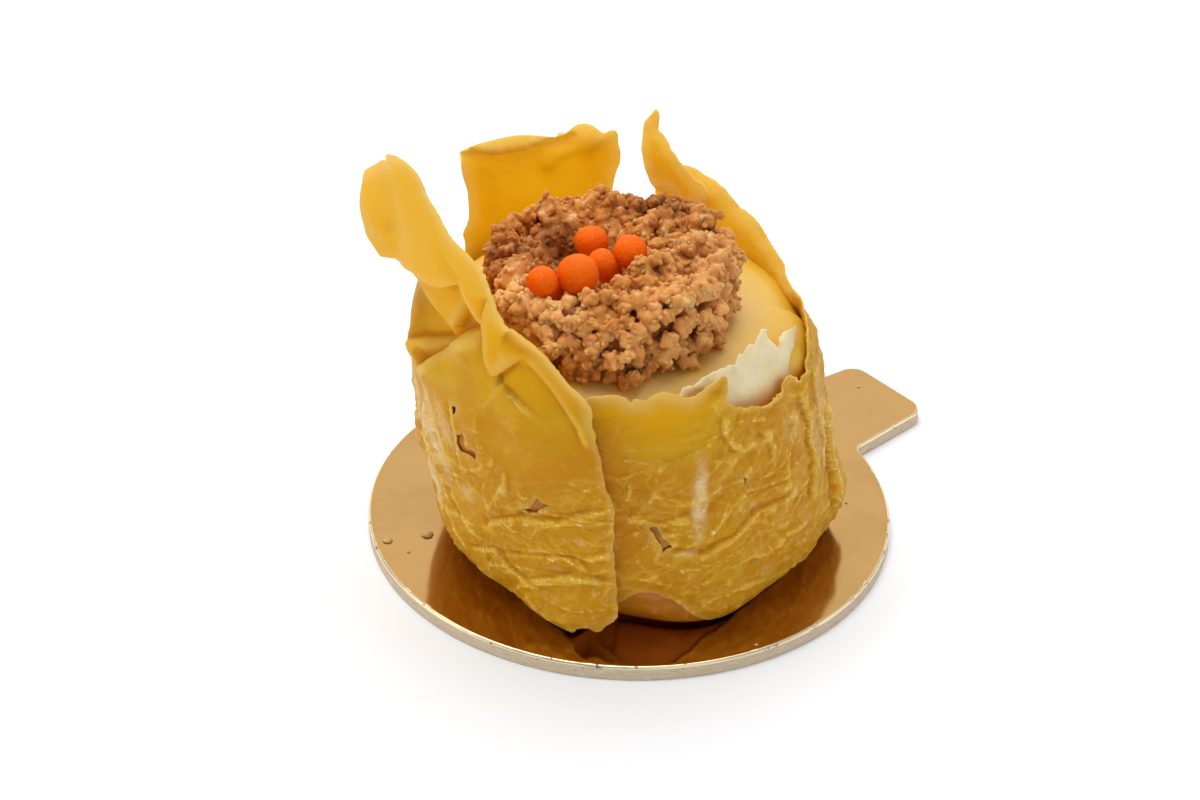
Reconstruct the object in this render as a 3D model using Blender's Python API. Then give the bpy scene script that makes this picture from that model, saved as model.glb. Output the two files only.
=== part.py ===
"""A large open siu mai on its round gold card with a pull tab.

The siu mai leans a little to the left. A smooth pale core stands on the card, a thin white
coat runs round the core, and one yellow wrapper goes round both and overlaps itself in a
seam at the front. The wrapper's torn upper edge rises into three tall petals. Minced filling
is heaped on the core, and orange pearls lie in the hollow of the heap.

Lengths are in millimetres and angles in degrees until a mesh is made in metres. The origin
is the centre of the card's underside, +Z is up and -Y is the front with the seam.
"""

import math

import bmesh
import bpy
import numpy as np

MM = 0.001
GAP = 0.3                       # clearance between pieces that touch

# Card: a round board with one pull tab
CARD_RADIUS = 40.0
CARD_THICKNESS = 2.4
CARD_EDGE_BEVEL = 0.3
CARD_SEGMENTS = 80
TAB_ANGLE = 40.0                # direction of the tab, from +X towards +Y
TAB_END = 55.5                  # from the card's centre to the end of the tab
TAB_HALF_ROOT = 9.6
TAB_HALF_END = 8.5
TAB_CORNER = 3.0
TAB_NECK = 2.0                  # fillet between the tab and the round edge

# Leaning upright form shared by the core, the coat and the wrapper
BODY_X = 1.5
BODY_Y = -3.0
LEAN = 0.13                     # shift to -X for each millimetre of height
BARREL = ((2.4, 25.3), (4.0, 26.6), (6.0, 28.0), (9.0, 29.0), (13.0, 29.5), (30.0, 29.5),
          (36.0, 29.1), (42.0, 28.2), (50.0, 27.9), (72.0, 28.4))
# The columns above are height and radius of the wrapper's middle surface

# Core and coat, given as depths below the wrapper's middle surface
CORE_DEPTH = 2.3
CORE_TOP = 41.0
CORE_SHOULDER = 6.5             # radius of the rounded upper edge
CORE_FOOT = 2.0                 # radius of the rounded lower edge
CORE_SIDE = (9.0, 16.0, 24.0)   # heights of the turned rings between the two edges
CORE_SEGMENTS = 48
COAT_DEPTH = 1.3
COAT_THICKNESS = 0.6
COAT_SEGMENTS = 60
COAT_FOOT = 6.0                 # height of its lower edge over the core's foot
COAT_EDGE = 33.0                # level upper edge where the wrapper hides it
COAT_ROWS = 5
COAT_TEARS = ((-84, 33), (-80, 40), (-66, 42.5), (-57, 43.5), (-48.5, 46), (-42, 42), (-36, 45),
              (-29, 40), (-25, 44), (-20, 38), (-12, 33))   # angle, height of the torn edge

# Wrapper: turns run from under the seam, round the right and the back, to over the seam
WRAP_THICKNESS = 0.8
WRAP_START = -105.0
WRAP_END = 265.0
WRAP_STEP = 4.0
SEAM_LIFT = 1.2                 # how much further out the upper layer lies at the seam
SPIRAL_FROM = 150.0             # turn where the wrapper starts to move out to the upper layer
SPIRAL_SPAN = 80.0
SIDE_ROWS = 8
PETAL_ROWS = 5
NECK = 41.0                     # height where the side ends and the petals begin
LIP = 1.0                       # least height left above the side for the torn edge
RIM = ((-106, 40), (-95, 42.2), (-87, 43), (-78, 42), (-66, 41.8), (-56, 43.6), (-52, 37.3),
       (-42, 36.3), (-30, 38), (-24, 36.4), (0, 38), (10, 39.5), (24, 41), (32, 43.5),
       (46, 45), (53, 49), (60, 48.6), (68, 52.3), (73, 58), (76, 56.5), (78, 45), (80, 41),
       (84, 40.5), (87, 53.6), (95, 55), (104, 53.4), (120, 55), (136, 54.8), (139, 42),
       (142, 36.5), (150, 37), (158, 48), (166, 54), (174, 60), (184, 66), (192, 69.5),
       (206, 69.8), (217, 67.5), (230, 62.5), (238, 58.3), (247, 53), (254, 50), (261, 46.3),
       (266, 42))                # turn, height of the torn upper edge
FOOT = ((-106, 0), (-96, 3), (-88, 5), (-80, 5.3), (-72, 3), (-65, 0), (256, 0), (266, 2.4))
# Swellings of the wrapper: turn, height, half spread of both, distance outwards
SWELLS = ((253, 3, 10, 9, 4.6),         # pointed foot at the front left
          (-66, 3, 16, 7, 2.0),         # foot at the front right
          (2, 9, 24, 11, 2.6),          # bulge low on the right
          (28, 45, 40, 10, -2.0),       # right side drawn in at the rim
          (206, 44, 24, 5, -2.2),       # neck under the left petal
          (172, 56, 28, 13, 6.6),       # left petal flares out
          (246, 46, 11, 16, 1.4),       # flap over the pleat left of the seam
          (183, 53, 13, 9, 2.0),        # lobe on the left of that petal
          (112, 49, 24, 9, 1.6))        # hollow of the back petal

# Filling heap on the core and the pearls in its hollow
HEAP_X = -3.6
HEAP_Y = -7.5
HEAP_RADIUS = 19.4
HEAP_TOP = 53.5
HEAP_SIDE = ((0.0, 17.0), (2.5, 18.6), (6.0, 19.4))     # height over the core, radius
HEAP_EDGE_DROP = 2.5            # how far the upper surface falls towards its edge
HEAP_SEGMENTS = 36
HEAP_RINGS = (0.97, 0.89, 0.80, 0.71, 0.62, 0.53, 0.44, 0.34, 0.23, 0.11)
HOLLOW_X = -7.2
HOLLOW_Y = -8.5
HOLLOW_RADIUS = 10.5
HOLLOW_FLOOR = 47.6
PEARL_BED = 0.8                 # clearance under each pearl
# Pearls: x, y, z of the centre and radius
PEARLS = ((-13.3, -18.9, 53.6, 2.25), (-8.4, -16.7, 53.5, 2.95), (-5.1, -12.1, 52.7, 2.1),
          (-1.1, -9.3, 53.0, 2.5), (-6.7, -1.6, 50.0, 2.5), (-12.0, -15.4, 50.2, 1.9),
          (-4.0, -8.8, 49.3, 1.95))


def clear_scene():
    for item in list(bpy.data.objects):
        bpy.data.objects.remove(item)


def material(name, colour, roughness, metallic=0.0):
    made = bpy.data.materials.new(name)
    made.use_nodes = True
    shader = made.node_tree.nodes["Principled BSDF"]
    shader.inputs["Base Color"].default_value = (*colour, 1.0)
    shader.inputs["Roughness"].default_value = roughness
    shader.inputs["Metallic"].default_value = metallic
    return made


def add_object(name, mesh, finish, sharp=math.radians(40.0)):
    mesh.materials.append(finish)
    mesh.shade_smooth()
    mesh.set_sharp_from_angle(angle=sharp)
    made = bpy.data.objects.new(name, mesh)
    bpy.context.scene.collection.objects.link(made)
    return made


def mesh_from(name, points, faces):
    """Make a mesh in metres from points in millimetres, with its faces turned outwards."""
    mesh = bpy.data.meshes.new(name)
    mesh.from_pydata([tuple(np.asarray(p) * MM) for p in points], [], faces)
    work = bmesh.new()
    work.from_mesh(mesh)
    bmesh.ops.recalc_face_normals(work, faces=work.faces)
    work.to_mesh(mesh)
    work.free()
    return mesh


def smooth(value):
    value = np.clip(value, 0.0, 1.0)
    return value * value * (3.0 - 2.0 * value)


def swell(turn, height, spec):
    """A soft bump of the given spread round one turn and one height."""
    at_turn, at_height, spread_turn, spread_height, out = spec
    far = np.hypot((turn - at_turn) / spread_turn, (height - at_height) / spread_height)
    return out * smooth(1.0 - far)


def place(turn, radius, height):
    """The point at a turn and a radius from the leaning axis, at a height over the table."""
    angle = np.radians(turn)
    x = BODY_X - LEAN * (height - CARD_THICKNESS) + radius * np.cos(angle)
    y = BODY_Y + radius * np.sin(angle)
    return np.stack(np.broadcast_arrays(x, y, height), axis=-1)


def barrel(height):
    heights, radii = np.array(BARREL).T
    return np.interp(height, heights, radii)


def along(stations, turn):
    turns, values = np.array(stations, dtype=float).T
    return np.interp(turn, turns, values)


def rings_to_faces(rings, count, closed):
    """Quads between neighbouring rings of count points each."""
    faces = []
    spans = count if closed else count - 1
    for ring in range(rings - 1):
        for step in range(spans):
            a = ring * count + step
            b = ring * count + (step + 1) % count
            faces.append((a, b, b + count, a + count))
    return faces


def lathe(name, profile, segments):
    """A closed solid turned from (radius, height) pairs, from the foot to the top."""
    turns = np.arange(segments) * 360.0 / segments
    points = []
    for radius, height in profile:
        points.extend(place(turns, np.full(segments, radius), np.full(segments, height)))
    faces = rings_to_faces(len(profile), segments, closed=True)
    faces.append(tuple(range(segments)))
    faces.append(tuple(range((len(profile) - 1) * segments, len(profile) * segments)))
    return mesh_from(name, points, faces)


def arc(centre, radius, start, end, steps):
    angles = np.radians(np.linspace(start, end, steps + 1))
    return [centre + radius * np.array((math.cos(a), math.sin(a))) for a in angles]


def card_outline():
    """Round edge, then the tab with rounded corners and filleted neck, about the tab's axis."""
    half = TAB_HALF_ROOT
    neck_y = half + TAB_NECK
    neck_x = math.sqrt((CARD_RADIUS + TAB_NECK) ** 2 - neck_y ** 2)
    meet = math.degrees(math.atan2(neck_y, neck_x))
    points = arc(np.zeros(2), CARD_RADIUS, meet, 360.0 - meet, CARD_SEGMENTS)
    side = arc(np.array((neck_x, -neck_y)), TAB_NECK, 180.0 - meet, 90.0, 4)
    corner = np.array((TAB_END - TAB_CORNER, -(TAB_HALF_END - TAB_CORNER)))
    side += arc(corner, TAB_CORNER, -90.0, 0.0, 5)
    points += side[1:]
    points += [point * (1.0, -1.0) for point in reversed(side)][:-1]
    turn = math.radians(TAB_ANGLE)
    rotate = np.array(((math.cos(turn), -math.sin(turn)), (math.sin(turn), math.cos(turn))))
    return [rotate @ point for point in points]


def make_card():
    work = bmesh.new()
    corners = [work.verts.new((x * MM, y * MM, 0.0)) for x, y in card_outline()]
    face = work.faces.new(corners)
    raised = bmesh.ops.extrude_face_region(work, geom=[face])
    tops = [item for item in raised["geom"] if isinstance(item, bmesh.types.BMVert)]
    bmesh.ops.translate(work, verts=tops, vec=(0.0, 0.0, CARD_THICKNESS * MM))
    bmesh.ops.recalc_face_normals(work, faces=work.faces)
    mesh = bpy.data.meshes.new("card")
    work.to_mesh(mesh)
    work.free()
    card = add_object("card", mesh, material("gold card", (0.60, 0.36, 0.13), 0.22, 1.0))
    bevel = card.modifiers.new("soft edge", "BEVEL")
    bevel.width = CARD_EDGE_BEVEL * MM
    bevel.segments = 1
    bevel.angle_limit = math.radians(60.0)


def make_core():
    foot = CARD_THICKNESS + GAP
    shoulder = CORE_TOP - CORE_SHOULDER
    side = barrel(foot + CORE_FOOT) - CORE_DEPTH - CORE_FOOT
    profile = arc(np.array((side, foot + CORE_FOOT)), CORE_FOOT, -90.0, 0.0, 3)
    profile += [(barrel(height) - CORE_DEPTH, height) for height in CORE_SIDE]
    side = barrel(shoulder) - CORE_DEPTH - CORE_SHOULDER
    profile += arc(np.array((side, shoulder)), CORE_SHOULDER, 0.0, 90.0, 6)
    mesh = lathe("core", profile, CORE_SEGMENTS)
    add_object("core", mesh, material("pale core", (0.85, 0.66, 0.32), 0.45))


def sheet_solid(name, outer, inner, closed):
    """A thin closed solid between two grids of points, indexed [row, column]."""
    rows, count = outer.shape[:2]
    points = np.concatenate((outer.reshape(-1, 3), inner.reshape(-1, 3)))
    back = rows * count
    faces = rings_to_faces(rows, count, closed)
    faces += [tuple(index + back for index in reversed(face)) for face in faces]
    spans = count if closed else count - 1
    for first in (0, (rows - 1) * count):
        for step in range(spans):
            a = first + step
            b = first + (step + 1) % count
            faces.append((a, b, b + back, a + back))
    if not closed:
        for column in (0, count - 1):
            for row in range(rows - 1):
                a = row * count + column
                faces.append((a, a + count, a + count + back, a + back))
    return mesh_from(name, points, faces)


def make_coat():
    turns = np.arange(COAT_SEGMENTS) * 360.0 / COAT_SEGMENTS - 180.0
    torn = (turns > COAT_TEARS[0][0]) & (turns < COAT_TEARS[-1][0])
    top = np.where(torn, along(COAT_TEARS, turns), COAT_EDGE)
    foot = CARD_THICKNESS + GAP + COAT_FOOT
    heights = np.array([foot + (top - foot) * part for part in np.linspace(0.0, 1.0, COAT_ROWS)])
    outer = place(turns, barrel(heights) - COAT_DEPTH, heights)
    inner = place(turns, barrel(heights) - COAT_DEPTH - COAT_THICKNESS, heights)
    mesh = sheet_solid("coat", outer, inner, closed=True)
    add_object("coat", mesh, material("white coat", (0.80, 0.68, 0.50), 0.4))


def wrapper_surface(turn, height):
    """Middle surface of the wrapper, with its swellings and the slow spiral of the overlap."""
    radius = barrel(height) + SEAM_LIFT * smooth((turn - SPIRAL_FROM) / SPIRAL_SPAN)
    for spec in SWELLS:
        radius = radius + swell(turn, height, spec)
    return place(turn, radius, height)


def make_wrapper():
    columns = int((WRAP_END - WRAP_START) / WRAP_STEP) + 1
    turns = np.linspace(WRAP_START, WRAP_END, columns)
    rim = along(RIM, turns)
    foot = CARD_THICKNESS + GAP + along(FOOT, turns)
    neck = np.minimum(rim - LIP, NECK)
    side = [foot + (neck - foot) * part for part in np.linspace(0.0, 1.0, SIDE_ROWS)]
    petals = [neck + (rim - neck) * part for part in np.linspace(0.0, 1.0, PETAL_ROWS)]
    heights = np.array(side + petals[1:])
    middle = wrapper_surface(turns, heights)
    across = np.gradient(middle, axis=1)
    upwards = np.gradient(middle, axis=0)
    normal = np.cross(across, upwards)
    normal /= np.linalg.norm(normal, axis=-1, keepdims=True)
    half = normal * WRAP_THICKNESS / 2.0
    mesh = sheet_solid("wrapper", middle + half, middle - half, closed=False)
    add_object("wrapper", mesh, material("yellow wrapper", (0.75, 0.47, 0.06), 0.42), sharp=3.0)


def heap_height(x, y):
    """Height of the heap's upper surface: an uneven rim round a hollow."""
    far = np.hypot(x - HEAP_X, y - HEAP_Y) / HEAP_RADIUS
    lump = 0.8 * np.sin(0.55 * x + 1.3) * np.cos(0.47 * y - 0.4) + 0.5 * np.sin(0.9 * (x - y))
    hollow = smooth(1.0 - np.hypot(x - HOLLOW_X, (y - HOLLOW_Y) * 0.9) / HOLLOW_RADIUS)
    top = HEAP_TOP + lump - HEAP_EDGE_DROP * smooth(4.0 * far - 3.0)
    top = top + (HOLLOW_FLOOR - HEAP_TOP - lump) * smooth(1.6 * hollow)
    for at_x, at_y, at_z, radius in PEARLS:
        aside = np.hypot(x - at_x, y - at_y)
        top = np.minimum(top, at_z - radius - PEARL_BED + aside ** 2 / (2.0 * radius))
    return top


def make_filling():
    turns = np.radians(np.arange(HEAP_SEGMENTS) * 360.0 / HEAP_SEGMENTS)
    wander = 1.0 + 0.03 * np.sin(3.0 * turns + 0.6) + 0.02 * np.sin(7.0 * turns)
    levels = [(radius, CORE_TOP + GAP + over) for over, radius in HEAP_SIDE]
    levels += [(HEAP_RADIUS * part, None) for part in HEAP_RINGS]
    rings = []
    for radius, level in levels:
        x = HEAP_X + radius * wander * np.cos(turns)
        y = HEAP_Y + radius * wander * np.sin(turns)
        height = heap_height(x, y) if level is None else np.full_like(x, level)
        rings.append(np.stack((x, y, height), axis=-1))
    points = np.concatenate(rings)
    faces = rings_to_faces(len(rings), HEAP_SEGMENTS, closed=True)
    faces.append(tuple(range(HEAP_SEGMENTS)))
    last = (len(rings) - 1) * HEAP_SEGMENTS
    faces.append(tuple(range(last, last + HEAP_SEGMENTS)))
    mesh = mesh_from("filling", points, faces)
    add_object("filling", mesh, material("minced filling", (0.45, 0.20, 0.08), 0.7))


def make_pearls():
    finish = material("orange pearl", (0.90, 0.12, 0.005), 0.5)
    for number, (x, y, z, radius) in enumerate(PEARLS, start=1):
        work = bmesh.new()
        bmesh.ops.create_uvsphere(work, u_segments=12, v_segments=8, radius=radius * MM)
        bmesh.ops.translate(work, verts=work.verts, vec=(x * MM, y * MM, z * MM))
        mesh = bpy.data.meshes.new(f"pearl_{number}")
        work.to_mesh(mesh)
        work.free()
        add_object(f"pearl_{number}", mesh, finish, sharp=math.radians(80.0))


clear_scene()
make_card()
make_core()
make_coat()
make_wrapper()
make_filling()
make_pearls()
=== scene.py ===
"""Looks of a large open siu mai on its round gold card.

A crinkled yellow wrapper with three tall torn petals goes round a pale core. Cooked mince is
heaped on the core with orange pearls in its hollow, and a white film stands in the torn front.

Shapes are worked out in millimetres. A point of the wrapper is named by its turn (degrees
round the leaning body from +X, -90 is the front) and its height over the table.
"""

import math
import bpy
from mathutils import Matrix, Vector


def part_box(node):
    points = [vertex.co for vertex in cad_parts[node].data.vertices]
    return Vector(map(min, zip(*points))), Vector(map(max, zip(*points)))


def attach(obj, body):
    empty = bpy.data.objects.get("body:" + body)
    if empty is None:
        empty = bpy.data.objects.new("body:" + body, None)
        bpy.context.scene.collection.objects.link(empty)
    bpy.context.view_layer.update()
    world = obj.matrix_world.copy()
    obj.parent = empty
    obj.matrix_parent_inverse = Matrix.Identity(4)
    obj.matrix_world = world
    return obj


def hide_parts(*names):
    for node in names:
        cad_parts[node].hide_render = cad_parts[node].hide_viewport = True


bl_info = {
    "name": "Open Siu Mai",
    "version": (1, 0, 0),
    "blender": (4, 5, 0),
    "location": "3D View > Sidebar > Siu Mai",
    "description": "Makes the card, core, film, wrapper, mince and pearls of an open siu mai",
    "category": "Add Mesh",
}

import bmesh
import bpy
import numpy as np
from bpy.props import FloatProperty, FloatVectorProperty, IntProperty, PointerProperty
from mathutils import Matrix, Vector, geometry, kdtree, noise

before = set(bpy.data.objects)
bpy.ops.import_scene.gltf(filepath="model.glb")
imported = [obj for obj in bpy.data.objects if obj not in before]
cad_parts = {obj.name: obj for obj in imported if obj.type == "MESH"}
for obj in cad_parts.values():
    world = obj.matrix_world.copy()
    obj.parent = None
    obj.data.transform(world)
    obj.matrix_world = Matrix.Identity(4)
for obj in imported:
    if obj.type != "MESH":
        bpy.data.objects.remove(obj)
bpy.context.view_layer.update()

MM = 0.001
CARD_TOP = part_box("card")[1].z / MM
CORE_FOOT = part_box("core")[0].z / MM
CORE_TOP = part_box("core")[1].z / MM

# ---------------------------------------------------------------- body shape
BODY_X = 1.5
BODY_Y = -3.0
LEAN = 0.13                     # shift to -X for each millimetre of height
BARREL = ((2.4, 25.3), (4.0, 26.6), (6.0, 28.0), (9.0, 29.0), (13.0, 29.5), (30.0, 29.5),
          (36.0, 29.1), (42.0, 28.2), (50.0, 27.9), (72.0, 28.4))
# The columns above are height and radius of the wrapper's middle surface
ARC = 0.5                       # millimetres round the wall for one degree of turn
FINE_RIGHT = (-104.0, -2.0)     # turns where the skin faces the front and is drawn finer
FINE_LEFT = 192.0

# Wrapper: turns run from under the seam, round the right and the back, to over the seam
SEAM_LIFT = 1.35
SPIRAL_FROM = 150.0
SPIRAL_SPAN = 80.0
# Torn upper edge: turn, height, raggedness
RIM = ((-106, 40, .1), (-95, 42.6, .1), (-89.5, 43.2, .1), (-85, 42.9, .2), (-84.4, 42.0, .2),
       (-81, 42.0, .2), (-76.4, 43.2, .2), (-70.6, 42.4, .2), (-66.2, 41.6, .2),
       (-62, 42.3, .2), (-57, 43.3, .1), (-54.8, 43.4, .1), (-54.5, 42.4, .1),
       (-55.2, 40.9, .1), (-56.6, 39.6, .1), (-53.8, 38.6, .2), (-52.2, 37.9, .2),
       (-48.3, 37.6, .2), (-42.3, 36.5, .3), (-35.7, 36.6, .3), (-33, 38.0, .2),
       (-30, 38.3, .2), (-27.5, 37.3, .3), (-25, 35.6, .3), (-21, 36.6, .3), (-17, 38.2, .3),
       (-12, 39.2, .2), (-6, 40.0, .2), (0, 40.8, .2), (5, 41.2, .2), (10, 41.2, .1),
       (17, 41.6, .1), (24, 42.2, .1), (32, 43.9, .1), (37, 45.4, .1),
       (46, 46.3, .1), (51, 48.6, .1), (54, 49.0, .1), (58, 49.2, .1), (64, 50.0, .1),
       (70, 50.8, .1),
       (75.5, 50.6, .1), (77.0, 48.5, .1), (75.5, 45.5, .1), (76, 42, .2), (80, 39.8, .3),
       (86, 39.6, .2), (90.2, 43.3, .1), (88.6, 46.0, .1), (86.0, 49.0, .1), (86.3, 52.0, .1),
       (86.0, 53.7, .1), (87.6, 54.2, .1), (89.8, 53.5, .1), (92.2, 54.0, .1),
       (94.1, 54.4, .0), (98, 53.6, .0), (103.8, 51.6, .0), (107, 51.8, .0), (118, 52.9, .0),
       (129.8, 53.8, .0), (135.0, 53.9, .0), (138.0, 52.6, .0), (138.2, 50.4, .0),
       (137.0, 47.5, .0), (138.2, 43.0, .1), (141.2, 41.2, .1), (140.3, 39.6, .1),
       (141.0, 37.5, .2), (145, 36.2, .3), (152, 37.4, .2), (158, 44.0, .1), (163, 50.0, .1),
       (168, 54.0, .0), (174, 58.5, .0), (178, 61.5, .0), (182, 63.9, .0), (190, 66.1, .0),
       (197, 68.5, .0), (202, 70.5, .0), (208, 71.75, .0), (212.5, 71.75, .0), (215.5, 71.2, .0),
       (217.2, 70.3, .0), (218.4, 69.0, .0), (219.8, 67.9, .0), (221.8, 67.3, .0),
       (224.7, 66.7, .0), (227.4, 65.5, .0), (230.5, 64.2, .0), (234.0, 63.3, .0),
       (236.6, 62.3, .0), (239.2, 60.9, .0), (240.9, 59.3, .0), (241.8, 57.7, .0),
       (243.0, 56.2, .0), (246, 54.4, .1),
       (250, 52.6, .1), (255.5, 49.6, .1), (258, 47.4, .1), (260.8, 45.3, .1),
       (263.8, 43.7, .1), (265.2, 42.2, .1))
SEAM_EDGE = ((265.2, 38.5, .2), (265.9, 34, .1), (266.4, 29, .1), (267.9, 26.4, .1),
             (267.0, 21.6, .2), (266.6, 17.2, .2), (265.9, 13, .1), (265.4, 6.8, .1))
FOOT_EDGE = ((262.4, 5.9, .1), (260.5, 4.6, .1), (257.3, 5.5, .1), (255, 4.9, .1),
             (252.6, 3.3, .1), (249, 2.8, .1), (243, 2.75, .0), (238, 2.75, .0),
             (-58, 2.75, .0), (-66, 3.6, .1), (-70, 3.9, .1), (-74, 5.7, .1), (-78.5, 8.4, .1),
             (-83, 9.7, .1), (-88, 10.1, .1), (-91, 9.3, .1), (-95, 7.4, .1), (-106, 4.0, .1))
FOOT_LEVEL = 2.75
# Tears in the wall: corners as turn, height
TEARS = (((242.0, 23.0), (244.1, 23.4), (246.0, 24.6), (247.4, 26.0), (247.9, 24.9),
          (250.8, 24.5), (247.9, 23.7), (247.2, 22.8), (244.2, 22.3)),
         ((221.2, 35.4), (223.4, 35.9), (223.8, 34.6), (222.0, 34.0)),
         ((222.7, 31.0), (224.9, 31.9), (226.2, 30.9), (225.6, 29.8), (229.2, 29.9),
          (229.4, 28.2), (226.2, 28.6), (223.2, 28.6)),
         ((-83.4, 21.0), (-81.0, 21.4), (-80.1, 20.1), (-77.2, 17.9), (-79.0, 17.8),
          (-80.7, 17.0), (-80.8, 18.7)),
         ((-54.5, 27.3), (-53.6, 26.6), (-52.9, 26.9), (-53.0, 25.9), (-54.0, 25.3)))
# Swellings: turn, height, half spread of both, distance outwards
SWELLS = ((256, 3, 27, 9, 4.4),         # pointed foot at the front left
          (-70, 3, 28, 7, 2.6),         # foot at the front right
          (2, 9, 24, 11, 2.6),          # bulge low on the right
          (190, 21, 7, 6, 1.1),         # lump low on the left
          (203, 44.5, 24, 5.5, -3.2),   # neck under the left petal
          (198, 38.4, 10, 3, 1.0),      # corner of the pleat below it
          (183, 53, 13, 9, 1.4),        # lobe on the left of that petal
          (187, 49.5, 12, 5.5, 1.7),    # its full lower end
          (172, 56, 28, 13, 5.9),       # left petal flares out
          (222, 71, 20, 11, -1.6),      # its tip leans back in
          (246, 46, 11, 16, 1.4),       # flap over the pleat left of the seam
          (112, 49, 24, 9, 1.6),        # hollow of the back petal
          (248, 36, 15, 13, 0.7),       # full, smooth sheet left of the seam
          (-86, 27, 15, 13, -1.1))      # slack hollow right of the seam
# The right side is drawn in under its rim: turn, distance
DRAWN_IN = ((-14, 0), (-8, -.2), (-2, -.7), (4, -.9), (10, -1.9), (18, -2.7), (32, -2.6),
            (46, -2.2), (52, -2.6), (58, -2.2), (64, -1.4), (68, -1.3), (76, -.6), (84, 0))
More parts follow.
